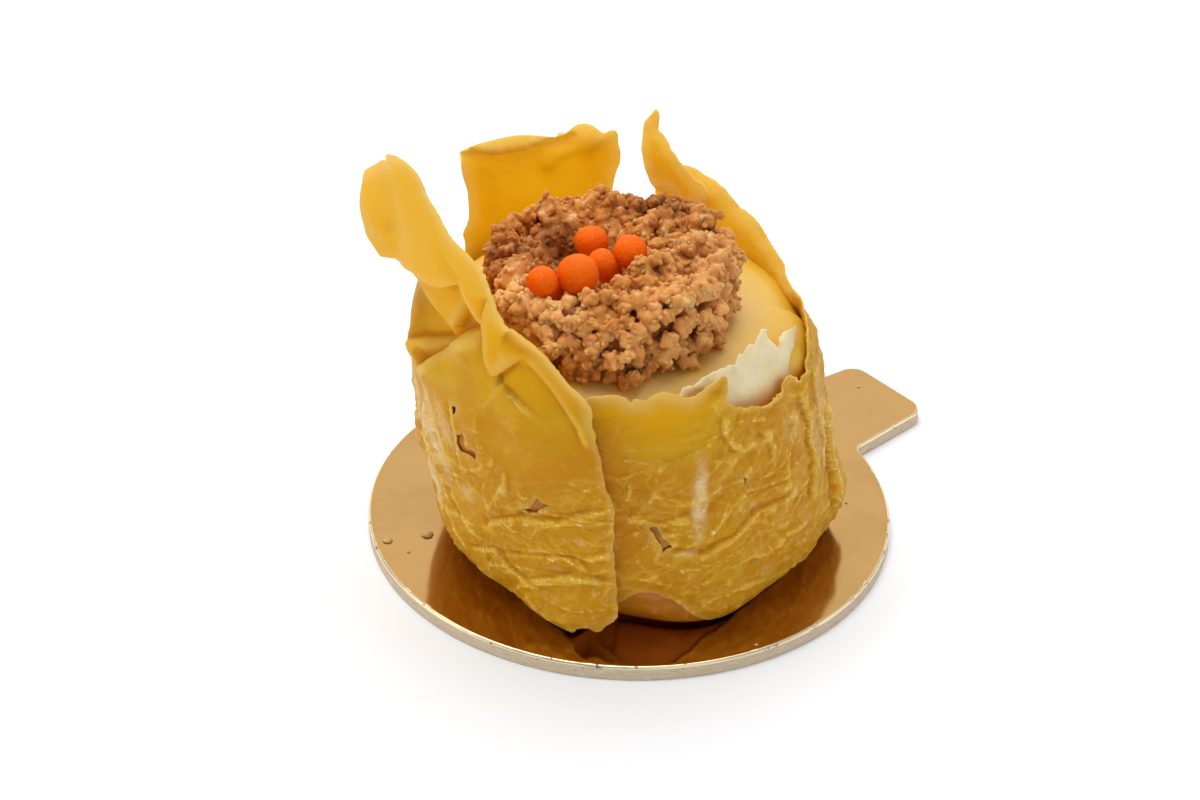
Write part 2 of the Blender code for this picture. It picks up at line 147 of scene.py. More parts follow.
# Folds: line of (turn, height), then offset and reach on its left and on its right
FOLDS = (
    # shelf under the pocket, and the pocket's own small folds
    (((201, 35.5), (208, 38.5), (213, 41.2), (220, 44.6), (228, 47.9), (237, 50.6)),
     -2.3, 4.5, 0.9, 4.0),
    (((211, 40.6), (216, 44.0), (223, 48.6), (227.5, 52.2), (231, 54.6)), 0.5, 2.2, -1.3, 2.2),
    (((194, 38.0), (199.5, 39.6), (207.5, 41.4), (214, 42.9), (217, 44.2)),
     -1.3, 1.6, 0.6, 1.6),
    # crest of the left petal, its lobe and its soft crease
    (((188, 54.8), (191, 53.2), (196, 51.9), (205, 53.2), (213, 54.6), (223, 54.9),
      (231, 57.2)), 1.3, 6.0, -1.9, 3.6),
    (((174, 61.5), (179, 59.4), (185, 57.2), (190.5, 53.6), (195, 52.2)), 0.7, 2.4, 0.5, 1.6),
    (((168, 45.0), (174, 46.3), (180, 47.9), (186, 49.5), (192, 51.0), (198, 52.2)),
     0.5, 3.0, -2.6, 4.0),
    (((204, 69), (206, 64), (209, 59)), 0.3, 2.0, 0.0, 2.0),
    # sheet between the petal and the pleat, and the pleat itself
    (((228.4, 57.6), (230.9, 54.5), (232.4, 52.1), (233.6, 49.6)), 0.7, 3.0, -0.9, 1.6),
    (((240.4, 57.2), (238.2, 53.1), (237.4, 49.3), (238.0, 46.5), (240.4, 45.0),
      (245.8, 47.9), (250.0, 49.8)), 1.2, 5.0, -0.9, 2.0),
    (((250.5, 50.4), (245.5, 46.4), (241.0, 43.0), (236.0, 39.8), (231.4, 36.6), (230, 32)),
     0.6, 1.0, 0.5, 3.2),
    (((248.5, 49.8), (253.0, 46.4), (257.0, 42.6), (261.0, 39.0), (263.4, 34.5)),
     0.55, 2.6, -0.1, 2.0),
    # crinkles under the tears left of the seam
    (((228, 16.4), (232, 18.6), (236, 20.0), (242, 21.6), (247, 22.0), (253, 22.5),
      (259, 24.2), (264, 25.4), (269, 26.2)), -0.35, 1.2, 0.45, 1.8),
    (((234, 13.2), (239, 14.6), (245, 15.6), (252, 16.4), (257, 16.2), (260.5, 13.6)),
     -0.2, 0.9, 0.4, 1.2),
    (((257, 16.2), (261.5, 17.6), (267, 18.9)), -0.1, 0.9, 0.4, 0.9),
    (((219, 10.4), (226, 12.4), (231, 13.6), (235, 11.2), (240.5, 10.2), (247, 11.9),
      (254, 13.3), (259, 13.6), (263, 13.0), (267, 13.5)), -0.3, 1.0, 0.5, 1.4),
    (((239, 10), (240.2, 6.6), (243.5, 4.0)), 0.3, 1.2, 0.1, 1.2),
    (((214, 20), (219, 17.0), (224, 14.4), (229, 13.4)), 0.5, 1.2, -0.2, 1.6),
    (((205, 26), (210, 21), (213, 15), (219, 9)), 0.5, 1.2, -0.3, 1.8),
    (((212, 33), (214, 28), (219, 24), (221, 19)), 0.4, 1.0, -0.3, 1.2),
    (((220, 36.5), (221.5, 32), (222, 28), (226, 24)), 0.45, 0.9, -0.4, 1.0),
    (((206, 33), (206.5, 28), (203, 22), (202, 15)), 0.6, 1.3, -0.3, 1.6),
    # rim band and crinkles right of the seam
    (((-94, 38.2), (-88, 37.3), (-82, 35.7), (-75, 35.8), (-68, 36.5), (-62, 38.2),
      (-58, 41.5)), 0.6, 3.0, 0.7, 4.5),
    (((-94, 19.4), (-87, 20.7), (-83.2, 21.0)), -0.1, 1.0, 0.45, 1.2),
    (((-83, 21.2), (-77.5, 22.5), (-71.6, 23.3), (-67, 25.2)), -0.15, 1.2, 0.35, 1.2),
    (((-81, 17.2), (-75, 17.2), (-69, 15.9), (-63.5, 17.5), (-58, 18.2), (-51.6, 20.5),
      (-42.3, 20.1), (-34, 21.2)), -0.2, 1.2, 0.5, 1.4),
    (((-68.7, 17.3), (-61.7, 21.3), (-56.9, 23.5), (-53.3, 24.3), (-47, 23.8), (-36, 23.2)),
     0.45, 1.2, -0.1, 1.6),
    (((-58.5, 39.0), (-59.6, 35.9), (-57.2, 32.6), (-53.6, 31.3), (-47, 31.6)),
     0.5, 1.3, -0.2, 1.4),
    (((-38.5, 20), (-36.9, 26.9), (-32.6, 29.7), (-29.7, 33.5)), 0.5, 1.2, -0.25, 1.6),
    (((-48, 34.6), (-45, 31.5), (-43.2, 29.6), (-45.0, 26.4)), 0.45, 1.0, -0.2, 1.2),
    (((-28, 35), (-25, 29), (-24, 22), (-27, 15)), 0.6, 1.2, -0.4, 1.6),
    (((-18, 36), (-17, 30), (-14, 24), (-15, 16)), 0.5, 1.0, -0.3, 1.4),
    (((-60, 13), (-50, 12.2), (-41, 13.6), (-30, 13.0)), 0.35, 1.2, -0.15, 1.6),
    (((-64, 8), (-52, 7.2), (-44, 8.6)), 0.3, 1.0, -0.1, 1.4),
    (((-9, 27), (-7, 22), (-8.5, 15), (-13, 9)), 1.2, 2.4, -0.8, 1.6),
    # back petal: its turned-back upper band and the ridge that crosses it
    (((140, 54.6), (134, 53.6), (124, 51.4), (114, 50.4), (106, 51.2), (97, 52.9)),
     1.2, 5.0, -0.7, 2.4),
    (((112, 46.4), (105, 48.2), (99, 49.4), (93, 51.6), (87, 53.8)), -0.5, 1.6, -1.0, 2.2),
)
# Outline of the right petal with its torn lower edge: turn, height, raggedness
RIGHT_PETAL = ((75.6, 47.2, .0), (73.0, 46.1, .1), (70.7, 46.2, .1), (69.0, 46.7, .1),
               (66.6, 46.4, .1), (65.0, 45.4, .1), (62.9, 44.8, .1), (60.6, 44.4, .1),
               (59.0, 45.8, .1), (56.0, 46.8, .1), (51.8, 47.8, .0), (51.2, 49.0, .0),
               (53.6, 49.8, .0), (57.0, 49.8, .0), (64, 51.4, .1), (66.8, 52.5, .1),
               (68.5, 52.9, .1), (70.1, 54.5, .1), (72.8, 55.1, .1), (72.3, 57.3, .0),
               (73.1, 58.2, .0), (75.0, 57.0, .0), (77.2, 55.7, .0), (78.2, 51.8, .0),
               (77.6, 49.6, .0))
# Pale places, partly floury spots and partly painted light on the wall's sides: turn, height, half
# spread of both, tilt in degrees, strength
FLOUR_AND_SIDE_LIGHT = ((-68.3, 25.4, 3.4, 9.8, -8, 1.0), (-74, 16.6, 5.0, 0.8, 0, 0.6),
        (210, 28, 6.0, 11.0, 18, 1.0), (205, 18, 4.4, 8.0, 12, 1.0),
        (224, 21.6, 3.6, 2.6, -30, 0.6), (237.5, 25.2, 1.8, 1.2, 0, 0.5),
        (258, 19.4, 2.6, 1.1, -35, 0.5), (250, 13.9, 3.4, 0.7, 0, 0.35),
        (-52, 21.5, 2.6, 1.2, 20, 0.5), (-37, 20.5, 2.2, 1.2, 20, 0.35),
        (-30, 30, 2.0, 4.0, -20, 0.3), (199, 27, 7.0, 10.0, 10, 0.9), (217, 31, 4.0, 6.0, 25, 0.6),
        (-13, 25, 10.0, 12.0, 0, 0.5), (-33, 31, 8.0, 4.0, 20, 0.3))

# Core
CORE_DEPTH = 2.3
CORE_SHOULDER = 6.5
CORE_FOOT_ROUND = 2.0
CORE_SEGMENTS = 240
FOOT_RINGS = 8
SIDE_RINGS = 18
SHOULDER_RINGS = 17
TOP_RINGS = 14

# White film between the core and the wrapper: torn upper edge as turn, height, raggedness
COAT_DEPTH = 1.3
COAT_TEARS = ((-96, 34, .1), (-84, 38, .1), (-76, 40.4, .2), (-66, 41.9, .2), (-60, 42.8, .2),
              (-52, 42.9, .2), (-47.2, 42.8, .2), (-45.6, 44.0, .2), (-43.8, 43.4, .2),
              (-40.5, 45.1, .1), (-38.6, 44.3, .2), (-35.6, 45.2, .1), (-32.8, 45.9, .1),
              (-31.6, 44.0, .2), (-29.4, 42.6, .2), (-27.4, 41.6, .2), (-25.6, 40.0, .2),
              (-23.2, 41.6, .1), (-17.5, 41.8, .1), (-12.5, 41.2, .1), (-15.5, 39.4, .1),
              (-19.2, 38.1, .1), (-16.0, 35.6, .2), (-10, 33, .1))
COAT_FOOT = 3.2
COAT_LEVEL = 33.0

# Heap of mince and the pearls in its hollow
HEAP_X = -3.6
HEAP_Y = -7.5
HEAP_RADIUS = 19.4
HEAP_TOP = 53.5
HEAP_EDGE_DROP = 2.5
HOLLOW_X = -7.2
HOLLOW_Y = -8.5
HOLLOW_RADIUS = 10.5
HOLLOW_FLOOR = 47.6
PEARL_BED = 0.8
BULK_RADIUS = 2.2               # lumps that fill the heap's inside, and their spacing
BULK_COVER = 3.9                # how deep they stay under the heap's surface
TOP_TRIES = 3200
TOP_GAP = 1.45
SIDE_TRIES = 3000
SIDE_GAP = 1.5
HEAP_BUMPS = {"Bump Size": 1.15 * MM, "Bump Depth": 0.72 * MM}
GRAINS = {"Density": 0.30 / MM ** 2, "Grain Radius": 0.50 * MM, "Bump Size": 0.8 * MM,
          "Bump Depth": 0.35 * MM}
# Holes in the heap's surface: x, y, reach, depth
HOLES = ((-15.0, -1.0, 6.5, 3.2), (-11.5, -1.0, 2.6, 3.5), (-9.5, 0.5, 4.5, 3.0),
         (0.5, 3.0, 5.0, 2.2), (-17.5, -8.0, 4.5, 3.2))
# Spots of painted shade and painted light on the mince: centre, reach where full and where gone,
# strength, colour
SHADED_SIDE = ((-17.5, -7.5, 49.0), 4.5, 9.5, 0.45, (0.24, 0.062, 0.007))
LIGHT_SIDE = ((-15.0, -20.0, 52.0), 5.0, 11.0, 0.75, (0.90, 0.52, 0.20))
CAVITY_SHADE = ((-11.2, -1.3, 50.0), 2.5, 5.5, 0.7, (0.20, 0.045, 0.005))
PEARL_NODES = tuple(sorted(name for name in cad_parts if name.startswith("pearl_")))
PEARLS = tuple((np.array((low + high) / 2.0) / MM, (high.z - low.z) / 2.0 / MM)
               for low, high in (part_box(name) for name in PEARL_NODES))

# Card
CARD_DISC = 40.0
TAB_ANGLE = 40.0
TAB_END = 55.5
TAB_HALF_ROOT = 9.6
TAB_HALF_END = 8.5
TAB_CORNER = 3.0
TAB_NECK = 2.0
CARD_STEPS = 420                # points round the card's edge
LOW_ROUND = 0.2                 # radius of the board's lower edge
HIGH_ROUND = 0.45               # radius of the foil's upper edge
# Drops of oil and crumbs on the foil: x, y, radius, height
DROPS = ((-36.3, -10.8, 0.75, 0.4), (-30.5, -9.0, 0.95, 0.55), (-33.0, -13.5, 0.25, 0.15),
         (18.5, -34.1, 0.3, 0.2), (37.3, 35.1, 0.3, 0.1), (33.5, 2.0, 0.2, 0.15))

# Lights: name, its power's setting, place and size in metres
LIGHTS = (("overhead", "key", (-0.12, 0.06, 0.78), 0.80, 0.70),
          ("back panel", "panel", (0.0, 0.85, 0.55), 1.7, 0.9),
          ("front fill", "fill", (0.35, -0.75, 0.45), 0.5, 0.5),
          ("left fill", "left", (-0.78, -0.10, 0.28), 0.5, 0.4),
          ("right fill", "right", (0.78, -0.05, 0.28), 0.5, 0.4))
LIGHT_AIM = (0.0, 0.0, 0.03)
FLOOR_REACH = 3.0 / MM

# Camera: aimed from the front, looking down
CAMERA_LENS = 90.0
CAMERA_SENSOR = 36.0
CAMERA_AIM = (-4.87, 33.01, 0.0)
CAMERA_DISTANCE = 490.1
CAMERA_ELEVATION = 33.26
CAMERA_ROLL = 1.38


# ---------------------------------------------------------------- settings
def colour(name, description, value):
    return FloatVectorProperty(name=name, description=description, default=value,
                               subtype="COLOR", size=3, min=0.0, max=1.0)


def length(name, description, value):
    """A length in metres whose default is given in millimetres."""
    return FloatProperty(name=name, description=description, default=value * MM,
                         unit="LENGTH", min=0.0, precision=5)


def share(name, description, value):
    return FloatProperty(name=name, description=description, default=value,
                         subtype="FACTOR", min=0.0, max=1.0)


def power(name, description, value):
    return FloatProperty(name=name, description=description, default=value, unit="POWER", min=0.0)


class SiuMaiCard(bpy.types.PropertyGroup):
    foil: colour("Foil", "Colour of the gold foil", (0.52, 0.30, 0.10))
    board: colour("Board", "Colour of the cut board edge", (0.62, 0.48, 0.32))
    # painted highlight: the foil on the rounded edge has this whiter colour to brighten its
    # highlight line
    edge: colour("Foil Edge", "Colour of the foil on the rounded edge", (0.95, 0.80, 0.52))
    gloss: share("Foil Roughness", "How blurred the foil mirrors things", 0.11)


class SiuMaiWrapper(bpy.types.PropertyGroup):
    skin: colour("Skin", "Yellow of the dough skin", (0.68, 0.325, 0.005))
    # painted light: the petals and the upward-facing rim band are painted in this brighter yellow
    petal: colour("Petal", "Brighter yellow of the petals", (0.98, 0.68, 0.016))
    glow: colour("Glow", "Colour of light that comes through", (1.0, 0.72, 0.06))
    # painted shade: sunk creases and the place under the seam's flap are painted in this colour,
    # as is some random darker tone
    deep: colour("Deep", "Colour in its creases", (0.60, 0.20, 0.003))
    # also painted light: the broad pale spots on the wall's sides stand in for side light
    pale: colour("Pale", "Colour of the floury places", (0.92, 0.66, 0.33))
    # painted highlight: raised creases, crease lines and lit petal faces are painted in this
    # colour, as is some random mottling
    rim: colour("Rim", "Colour of the thin torn edges", (0.96, 0.64, 0.09))
    # painted light: the glow through thin edges and the highlight on petal ridges are painted in
    # this colour
    light: colour("Light Edge", "Colour of the thin edges of the petals", (1.0, 0.79, 0.27))
    thickness: length("Thickness", "Thickness of the skin", 0.75)
    wrinkle: length("Wrinkle Depth", "Height of the crinkles", 0.38)
    grid: length("Grid", "Distance between neighbouring points at the front", 0.38)


class SiuMaiCore(bpy.types.PropertyGroup):
    cream: colour("Cream", "Colour of the smooth core", (0.86, 0.56, 0.128))
    stain: colour("Stain", "Colour beside the wrapper", (0.72, 0.43, 0.03))
    film: colour("Film", "Colour of the torn film", (1.0, 0.78, 0.43))
    film_low: colour("Film Low", "Colour of the film where the skin begins", (0.60, 0.20, 0.004))
    film_thickness: length("Film Thickness", "Thickness of the film", 0.22)


class SiuMaiMince(bpy.types.PropertyGroup):
    meat: colour("Meat", "Main colour of the mince", (0.50, 0.165, 0.024))
    # painted highlight: raised bits and the lit front are painted in this colour, besides lighter
    # meat at random
    light: colour("Light Meat", "Colour of its raised bits", (0.80, 0.37, 0.100))
    # painted shade: the gaps and the back right are painted in this colour, besides darker meat at
    # random
    dark: colour("Dark Meat", "Colour in its gaps", (0.22, 0.046, 0.004))
    lump: length("Lump", "Radius of a common lump", 0.9)
    voxel: length("Voxel", "Fineness of the merged lumps", 0.33)
    seed: IntProperty(name="Seed", description="Layout of the lumps", default=11, min=0)


class SiuMaiPearls(bpy.types.PropertyGroup):
    flesh: colour("Pearl", "Colour of the pearls", (1.0, 0.16, 0.001))
    bump: length("Bump", "Height of the fine bumps", 0.06)


class SiuMaiStage(bpy.types.PropertyGroup):
    floor: colour("Floor", "Colour of the floor", (0.95, 0.97, 1.0))
    key: power("Key Light", "Power of the soft light overhead", 5.0)
    panel: power("Back Panel", "Power of the bright panel behind", 4.2)
    fill: power("Front Fill", "Power of the weak light in front", 0.5)
    left: power("Left Fill", "Power of the weak light on the left", 0.9)
    right: power("Right Fill", "Power of the weak light on the right", 0.5)
    sky: FloatProperty(name="Sky", description="Strength of the light all round",
                       default=0.36, min=0.0)


# ---------------------------------------------------------------- numbers and shapes
def smooth(value):
    value = np.clip(value, 0.0, 1.0)
    return value * value * (3.0 - 2.0 * value)


def table(rows, position, column=1):
    rows = np.array(rows, dtype=float)
    return np.interp(position, rows[:, 0], rows[:, column])


def swell(turn, height, spec):
    """A soft bump of the given spread round one turn and one height."""
    at_turn, at_height, spread_turn, spread_height, out = spec
    far = np.hypot((turn - at_turn) / spread_turn, (height - at_height) / spread_height)
    return out * smooth(1.0 - far)


def place(turn, radius, rise):
    """The point at a turn and a radius from the leaning axis, at a height over the table."""
    angle = np.radians(turn)
    x = BODY_X - LEAN * (rise - CARD_TOP) + radius * np.cos(angle)
    y = BODY_Y + radius * np.sin(angle)
    return np.stack(np.broadcast_arrays(x, y, rise), axis=-1)


def line_offset(points, line):
    """Signed distance to a line (left is positive), place along it and its whole length."""
    best = np.full(len(points), 1e9)
    signed = np.zeros(len(points))
    along = np.zeros(len(points))
    run = 0.0
    for start, end in zip(line[:-1], line[1:]):
        step = end - start
        size = math.hypot(*step)
        rel = points - start
        share_of = np.clip((rel @ step) / size ** 2, 0.0, 1.0)
        gap = np.hypot(*(rel - share_of[:, None] * step).T)
        side = np.sign(step[0] * rel[:, 1] - step[1] * rel[:, 0])
        near = gap < best
        best[near] = gap[near]
        signed[near] = (gap * side)[near]
        along[near] = run + size * share_of[near]
        run += size
    return signed, along, run


def fold_offset(points, spec):
    """How far one fold pushes the wall outwards at the given sheet points."""
    line, left, left_reach, right, right_reach = spec
    line = np.array(line, dtype=float) * (ARC, 1.0)
    signed, along, run = line_offset(points, line)
    far = np.abs(signed)
    upper = left * np.exp(-(far / left_reach) ** 1.5)
    lower = right * np.exp(-(far / right_reach) ** 1.5)
    turn_over = smooth(signed / 0.5 + 0.5)
    fade = smooth(np.minimum(along, run - along) / min(2.5, run / 3.0))
    return (upper * turn_over + lower * (1.0 - turn_over)) * fade


def noise_at(points, scale, seed, octaves=1):
    """Smooth noise from -1 to 1 at points of the sheet; scale is features per millimetre."""
    scale = np.broadcast_to(scale, (2,))
    made = np.zeros(len(points))
    for index, (x, y) in enumerate(points * scale):
        at = Vector((x, y, seed))
        made[index] = noise.fractal(at, 1.0, 2.0, octaves) if octaves > 1 else noise.noise(at)
    return made


def even_line(rows, step):
    """A line through (x, y, raggedness) rows, with points a step apart."""
    spans = np.hypot(*np.diff(rows[:, :2], axis=0).T)
    run = np.concatenate(([0.0], np.cumsum(spans)))
    count = int(run[-1] / step)
    at = np.arange(count) * run[-1] / count
    return np.stack([np.interp(at, run, rows[:, k]) for k in range(3)], axis=1)


def even_loop(rows, step):
    """The same line closed to a loop."""
    rows = np.array(rows, dtype=float)
    return even_line(np.vstack((rows, rows[:1])), step)


def ragged_loop(rows, step, seed):
    """An even loop with its edge softened a little and then torn by its raggedness."""
    loop = even_loop(rows, step)
    for _ in range(2):
        near = (np.roll(loop, 1, axis=0) + np.roll(loop, -1, axis=0)) / 2.0
        loop = loop * 0.5 + near * 0.5
    ahead = np.roll(loop[:, :2], -1, axis=0) - np.roll(loop[:, :2], 1, axis=0)
    ahead /= np.hypot(*ahead.T)[:, None]
    across = np.stack((ahead[:, 1], -ahead[:, 0]), axis=1)
    jag = noise_at(loop[:, :2], 0.55, seed, 3) + 0.5 * noise_at(loop[:, :2], 1.7, seed + 9)
    return loop[:, :2] + across * (jag * loop[:, 2] * 2.2)[:, None]


def inside(points, loop):
    """Which points lie within a closed loop."""
    hit = np.zeros(len(points), dtype=bool)
    for a, b in zip(loop, np.roll(loop, -1, axis=0)):
        crosses = (a[1] > points[:, 1]) != (b[1] > points[:, 1])
        if a[1] != b[1]:
            x = (b[0] - a[0]) * (points[:, 1] - a[1]) / (b[1] - a[1]) + a[0]
            hit ^= crosses & (points[:, 0] < x)
    return hit


def distance_to(points, line):
    tree = kdtree.KDTree(len(line))
    for index, (x, y) in enumerate(line):
        tree.insert((x, y, 0.0), index)
    tree.balance()
    return np.array([tree.find((x, y, 0.0))[2] for x, y in points])


def arc(centre, radius, start, end, steps):
    angles = np.radians(np.linspace(start, end, steps + 1))
    return [np.array(centre) + radius * np.array((math.cos(a), math.sin(a))) for a in angles]


def ring_faces(rings, count):
    """Quads between stacked closed rings of count points each."""
    polygons = []
    for ring in range(rings - 1):
        for k in range(count):
            a, b = ring * count + k, ring * count + (k + 1) % count
            polygons.append((a, b, b + count, a + count))
    return polygons


def lattice(low, high, step):
    """Points a step apart in staggered rows."""
    columns = np.arange(low[0], high[0], step)
    rows = np.arange(low[1], high[1], step * math.sqrt(0.75))
    grid = np.stack(np.meshgrid(columns, rows), axis=-1)
    grid[1::2, :, 0] += step / 2.0
    return grid.reshape(-1, 2)


def fill_outline(loops, step, fine_step=None, is_fine=None):
    """Points and anticlockwise triangles that fill the first loop, less the other loops."""
    edge = np.concatenate(loops)
    low, high = loops[0].min(axis=0), loops[0].max(axis=0)
    grid = lattice(low, high, step)
    if is_fine is not None:
        fine = lattice(low, high, fine_step)
        grid = np.concatenate((grid[~is_fine(grid)], fine[is_fine(fine)]))
    keep = inside(grid, loops[0])
    for loop in loops[1:]:
        keep &= ~inside(grid, loop)
    grid = grid[keep]
    grid = grid[distance_to(grid, edge) > (fine_step or step) * 0.55]
    points = np.concatenate((edge, grid))
    edges = []
    first = 0
    for loop in loops:
        count = len(loop)
        edges += [(first + k, first + (k + 1) % count) for k in range(count)]
        first += count
    flat = [Vector(point) for point in points]
    made = geometry.delaunay_2d_cdt(flat, edges, [], 0, 1e-6)
    points = np.array([tuple(point) for point in made[0]])
    faces = np.array([face for face in made[2] if len(face) == 3])
    middle = points[faces].mean(axis=1)
    keep = inside(middle, loops[0])
    for loop in loops[1:]:
        keep &= ~inside(middle, loop)
    faces = faces[keep]
    used = np.unique(faces)
    renumber = np.full(len(points), -1)
    renumber[used] = np.arange(len(used))
    points, faces = points[used], renumber[faces]
    a, b, c = points[faces[:, 0]], points[faces[:, 1]], points[faces[:, 2]]
    turned = (b[:, 0] - a[:, 0]) * (c[:, 1] - a[:, 1]) < (b[:, 1] - a[:, 1]) * (c[:, 0] - a[:, 0])
    faces[turned] = faces[turned][:, ::-1]
    return points, faces


def directed_edges(faces):
    return np.concatenate((faces[:, (0, 1)], faces[:, (1, 2)], faces[:, (2, 0)]))


def unit(rows):
    return rows / np.maximum(np.linalg.norm(rows, axis=1, keepdims=True), 1e-12)


def point_normals(points, faces):
    a, b, c = (points[faces[:, k]] for k in range(3))
    flat = np.cross(b - a, c - a)
    normals = np.zeros_like(points)
    for k in range(3):
        np.add.at(normals, faces[:, k], flat)
    return unit(normals)


def soften(values, faces, rounds):
    """Average values with those of neighbouring points, several times."""
    ends = directed_edges(faces)
    count = np.bincount(ends.ravel(), minlength=len(values)).astype(float)
    count = np.maximum(count, 1.0).reshape((-1,) + (1,) * (values.ndim - 1))
    for _ in range(rounds):
        total = np.zeros_like(values)
        np.add.at(total, ends[:, 0], values[ends[:, 1]])
        np.add.at(total, ends[:, 1], values[ends[:, 0]])
        values = values * 0.4 + total / count * 0.6
    return values


def open_edges(faces):
    """Directed edges that belong to one face only."""
    ends = directed_edges(faces)
    count = int(faces.max()) + 1
    keys = ends[:, 0] * count + ends[:, 1]
    back = ends[:, 1] * count + ends[:, 0]
    return ends[~np.isin(keys, back)]


def thicken(middle, faces, thickness):
    """A closed skin with rounded edges round a middle surface, and the source of each point."""
    normals = unit(soften(point_normals(middle, faces), faces, 2))
    half = thickness[:, None] / 2.0
    rim = open_edges(faces)
    count = len(middle)
    outward = np.zeros_like(middle)
    ahead = middle[rim[:, 1]] - middle[rim[:, 0]]
    push = np.cross(ahead, normals[rim[:, 0]])
    np.add.at(outward, rim[:, 0], push)
    np.add.at(outward, rim[:, 1], push)
    ends = np.unique(rim)
    push = unit(outward[ends])
    edge_index = np.full(count, -1)
    edge_index[ends] = 2 * count + np.arange(len(ends))
    points = np.concatenate((middle + normals * half, middle - normals * half,
                             middle[ends] + push * half[ends] * 0.9))
    source = np.concatenate((np.arange(count), np.arange(count), ends))
    walls = []
    for a, b in rim:
        walls.append((b, a, edge_index[a], edge_index[b]))
        walls.append((edge_index[b], edge_index[a], a + count, b + count))
    polygons = [tuple(face) for face in faces.tolist()]
    polygons += [(c + count, b + count, a + count) for a, b, c in faces.tolist()]
    polygons += [tuple(int(v) for v in wall) for wall in walls]
    return points, polygons, source


# ---------------------------------------------------------------- objects and materials
def add_object(name, data):
    made = bpy.data.objects.new(name, data)
    bpy.context.scene.collection.objects.link(made)
    return made


def store_field(mesh, name, values):
    """A number for each point of a mesh, which materials and node trees read by name."""
    data = mesh.attributes.new(name, "FLOAT", "POINT")
    data.data.foreach_set("value", np.asarray(values, dtype=np.float32))


def add_work(name, work, finish):
    """An object from a finished bmesh."""
    mesh = bpy.data.meshes.new(name)
    work.to_mesh(mesh)
    work.free()
    mesh.materials.append(finish)
    mesh.shade_smooth()
    return add_object(name, mesh)


def add_mesh(name, points, polygons, finish, fields=None, sharp=None):
    """An object whose mesh is in metres, from points in millimetres."""
    mesh = bpy.data.meshes.new(name)
    mesh.from_pydata((np.asarray(points) * MM).tolist(), [], polygons)
    for key, values in (fields or {}).items():
        store_field(mesh, key, values)
    mesh.materials.append(finish)
    mesh.shade_smooth()
    if sharp is not None:
        mesh.set_sharp_from_angle(angle=math.radians(sharp))
    return add_object(name, mesh)


def finish_piece(piece, nodes=()):
    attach(piece, "root")
    if nodes:
        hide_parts(*nodes)


def new_material(name):
    made = bpy.data.materials.new(name)
    made.use_nodes = True
    tree = made.node_tree
    return made, tree, tree.nodes["Principled BSDF"]


def put(socket, value):
    """Link a socket to another, or set its value."""
    if isinstance(value, bpy.types.NodeSocket):
        socket.id_data.links.new(value, socket)
    elif socket.type == "RGBA":
        socket.default_value = (*value[:3], 1.0)
    else:
        socket.default_value = value


def coordinates(tree, scale=(1.0, 1.0, 1.0), turn=(0.0, 0.0, 0.0)):
    """Object coordinates in metres, stretched or turned."""
    source = tree.nodes.new("ShaderNodeTexCoord")
    mapping = tree.nodes.new("ShaderNodeMapping")
    put(mapping.inputs["Vector"], source.outputs["Object"])
    mapping.inputs["Scale"].default_value = scale
    mapping.inputs["Rotation"].default_value = turn
    return mapping.outputs["Vector"]


def noise_value(tree, vector, size, detail=3.0, roughness=0.55, warp=0.0):
    """Noise whose features measure about size millimetres."""
    node = tree.nodes.new("ShaderNodeTexNoise")
    put(node.inputs["Vector"], vector)
    node.inputs["Scale"].default_value = 1000.0 / size
    node.inputs["Detail"].default_value = detail
    node.inputs["Roughness"].default_value = roughness
    node.inputs["Distortion"].default_value = warp
    return node.outputs["Fac"]


def field(tree, name):
    node = tree.nodes.new("ShaderNodeAttribute")
    node.attribute_name = name
    return node.outputs["Fac"]


def span(tree, value, low, high, to_low=0.0, to_high=1.0):
    """Map a value from low..high to another span, held at its ends."""
    node = tree.nodes.new("ShaderNodeMapRange")
    node.interpolation_type = "SMOOTHSTEP"
    put(node.inputs["Value"], value)
    node.inputs["From Min"].default_value = low
    node.inputs["From Max"].default_value = high
    node.inputs["To Min"].default_value = to_low
    node.inputs["To Max"].default_value = to_high
    return node.outputs["Result"]


def calc(tree, operation, first, second=0.0):
    node = tree.nodes.new("ShaderNodeMath")
    node.operation = operation
    put(node.inputs[0], first)
    put(node.inputs[1], second)
    return node.outputs["Value"]


def blend(tree, factor, first, second):
    node = tree.nodes.new("ShaderNodeMix")
    node.data_type = "RGBA"
    sockets = {socket.identifier: socket for socket in node.inputs}
    put(sockets["Factor_Float"], factor)
    put(sockets["A_Color"], first)
    put(sockets["B_Color"], second)
    return next(socket for socket in node.outputs if socket.identifier == "Result_Color")


def spot(tree, at, tone, spec):
    """Lay a spot of painted tone over a colour: painted shade where its colour is dark, painted
    light where it is light; centre and reach are in millimetres.
    """
    centre, full, gone, strength, colour_of = spec
    node = tree.nodes.new("ShaderNodeVectorMath")
    node.operation = "DISTANCE"
    put(node.inputs[0], at)
    node.inputs[1].default_value = [part * MM for part in centre]
    share_of = span(tree, node.outputs["Value"], full * MM, gone * MM, strength, 0.0)
    return blend(tree, share_of, tone, colour_of)


def relief(tree, value, depth, strength=1.0, below=None):
    """Bump of the given depth in millimetres."""
    node = tree.nodes.new("ShaderNodeBump")
    node.inputs["Strength"].default_value = strength
    node.inputs["Distance"].default_value = depth * MM
    put(node.inputs["Height"], value)
    if below is not None:
        put(node.inputs["Normal"], below)
    return node.outputs["Normal"]


def soft_flesh(shader, weight, reach, radius):
    """Light that soaks into food; reach is in millimetres."""
    shader.inputs["Subsurface Weight"].default_value = weight
    shader.inputs["Subsurface Scale"].default_value = reach * MM
    shader.inputs["Subsurface Radius"].default_value = radius


def crease_value(tree, vector, size):
    """Thin crossing lines, like creases of a crumpled sheet, about size millimetres apart."""
    level = noise_value(tree, vector, size, 1.0, 0.45, 0.7)
    away = calc(tree, "ABSOLUTE", calc(tree, "SUBTRACT", level, 0.5))
    return span(tree, away, 0.0, 0.035, 1.0, 0.0)


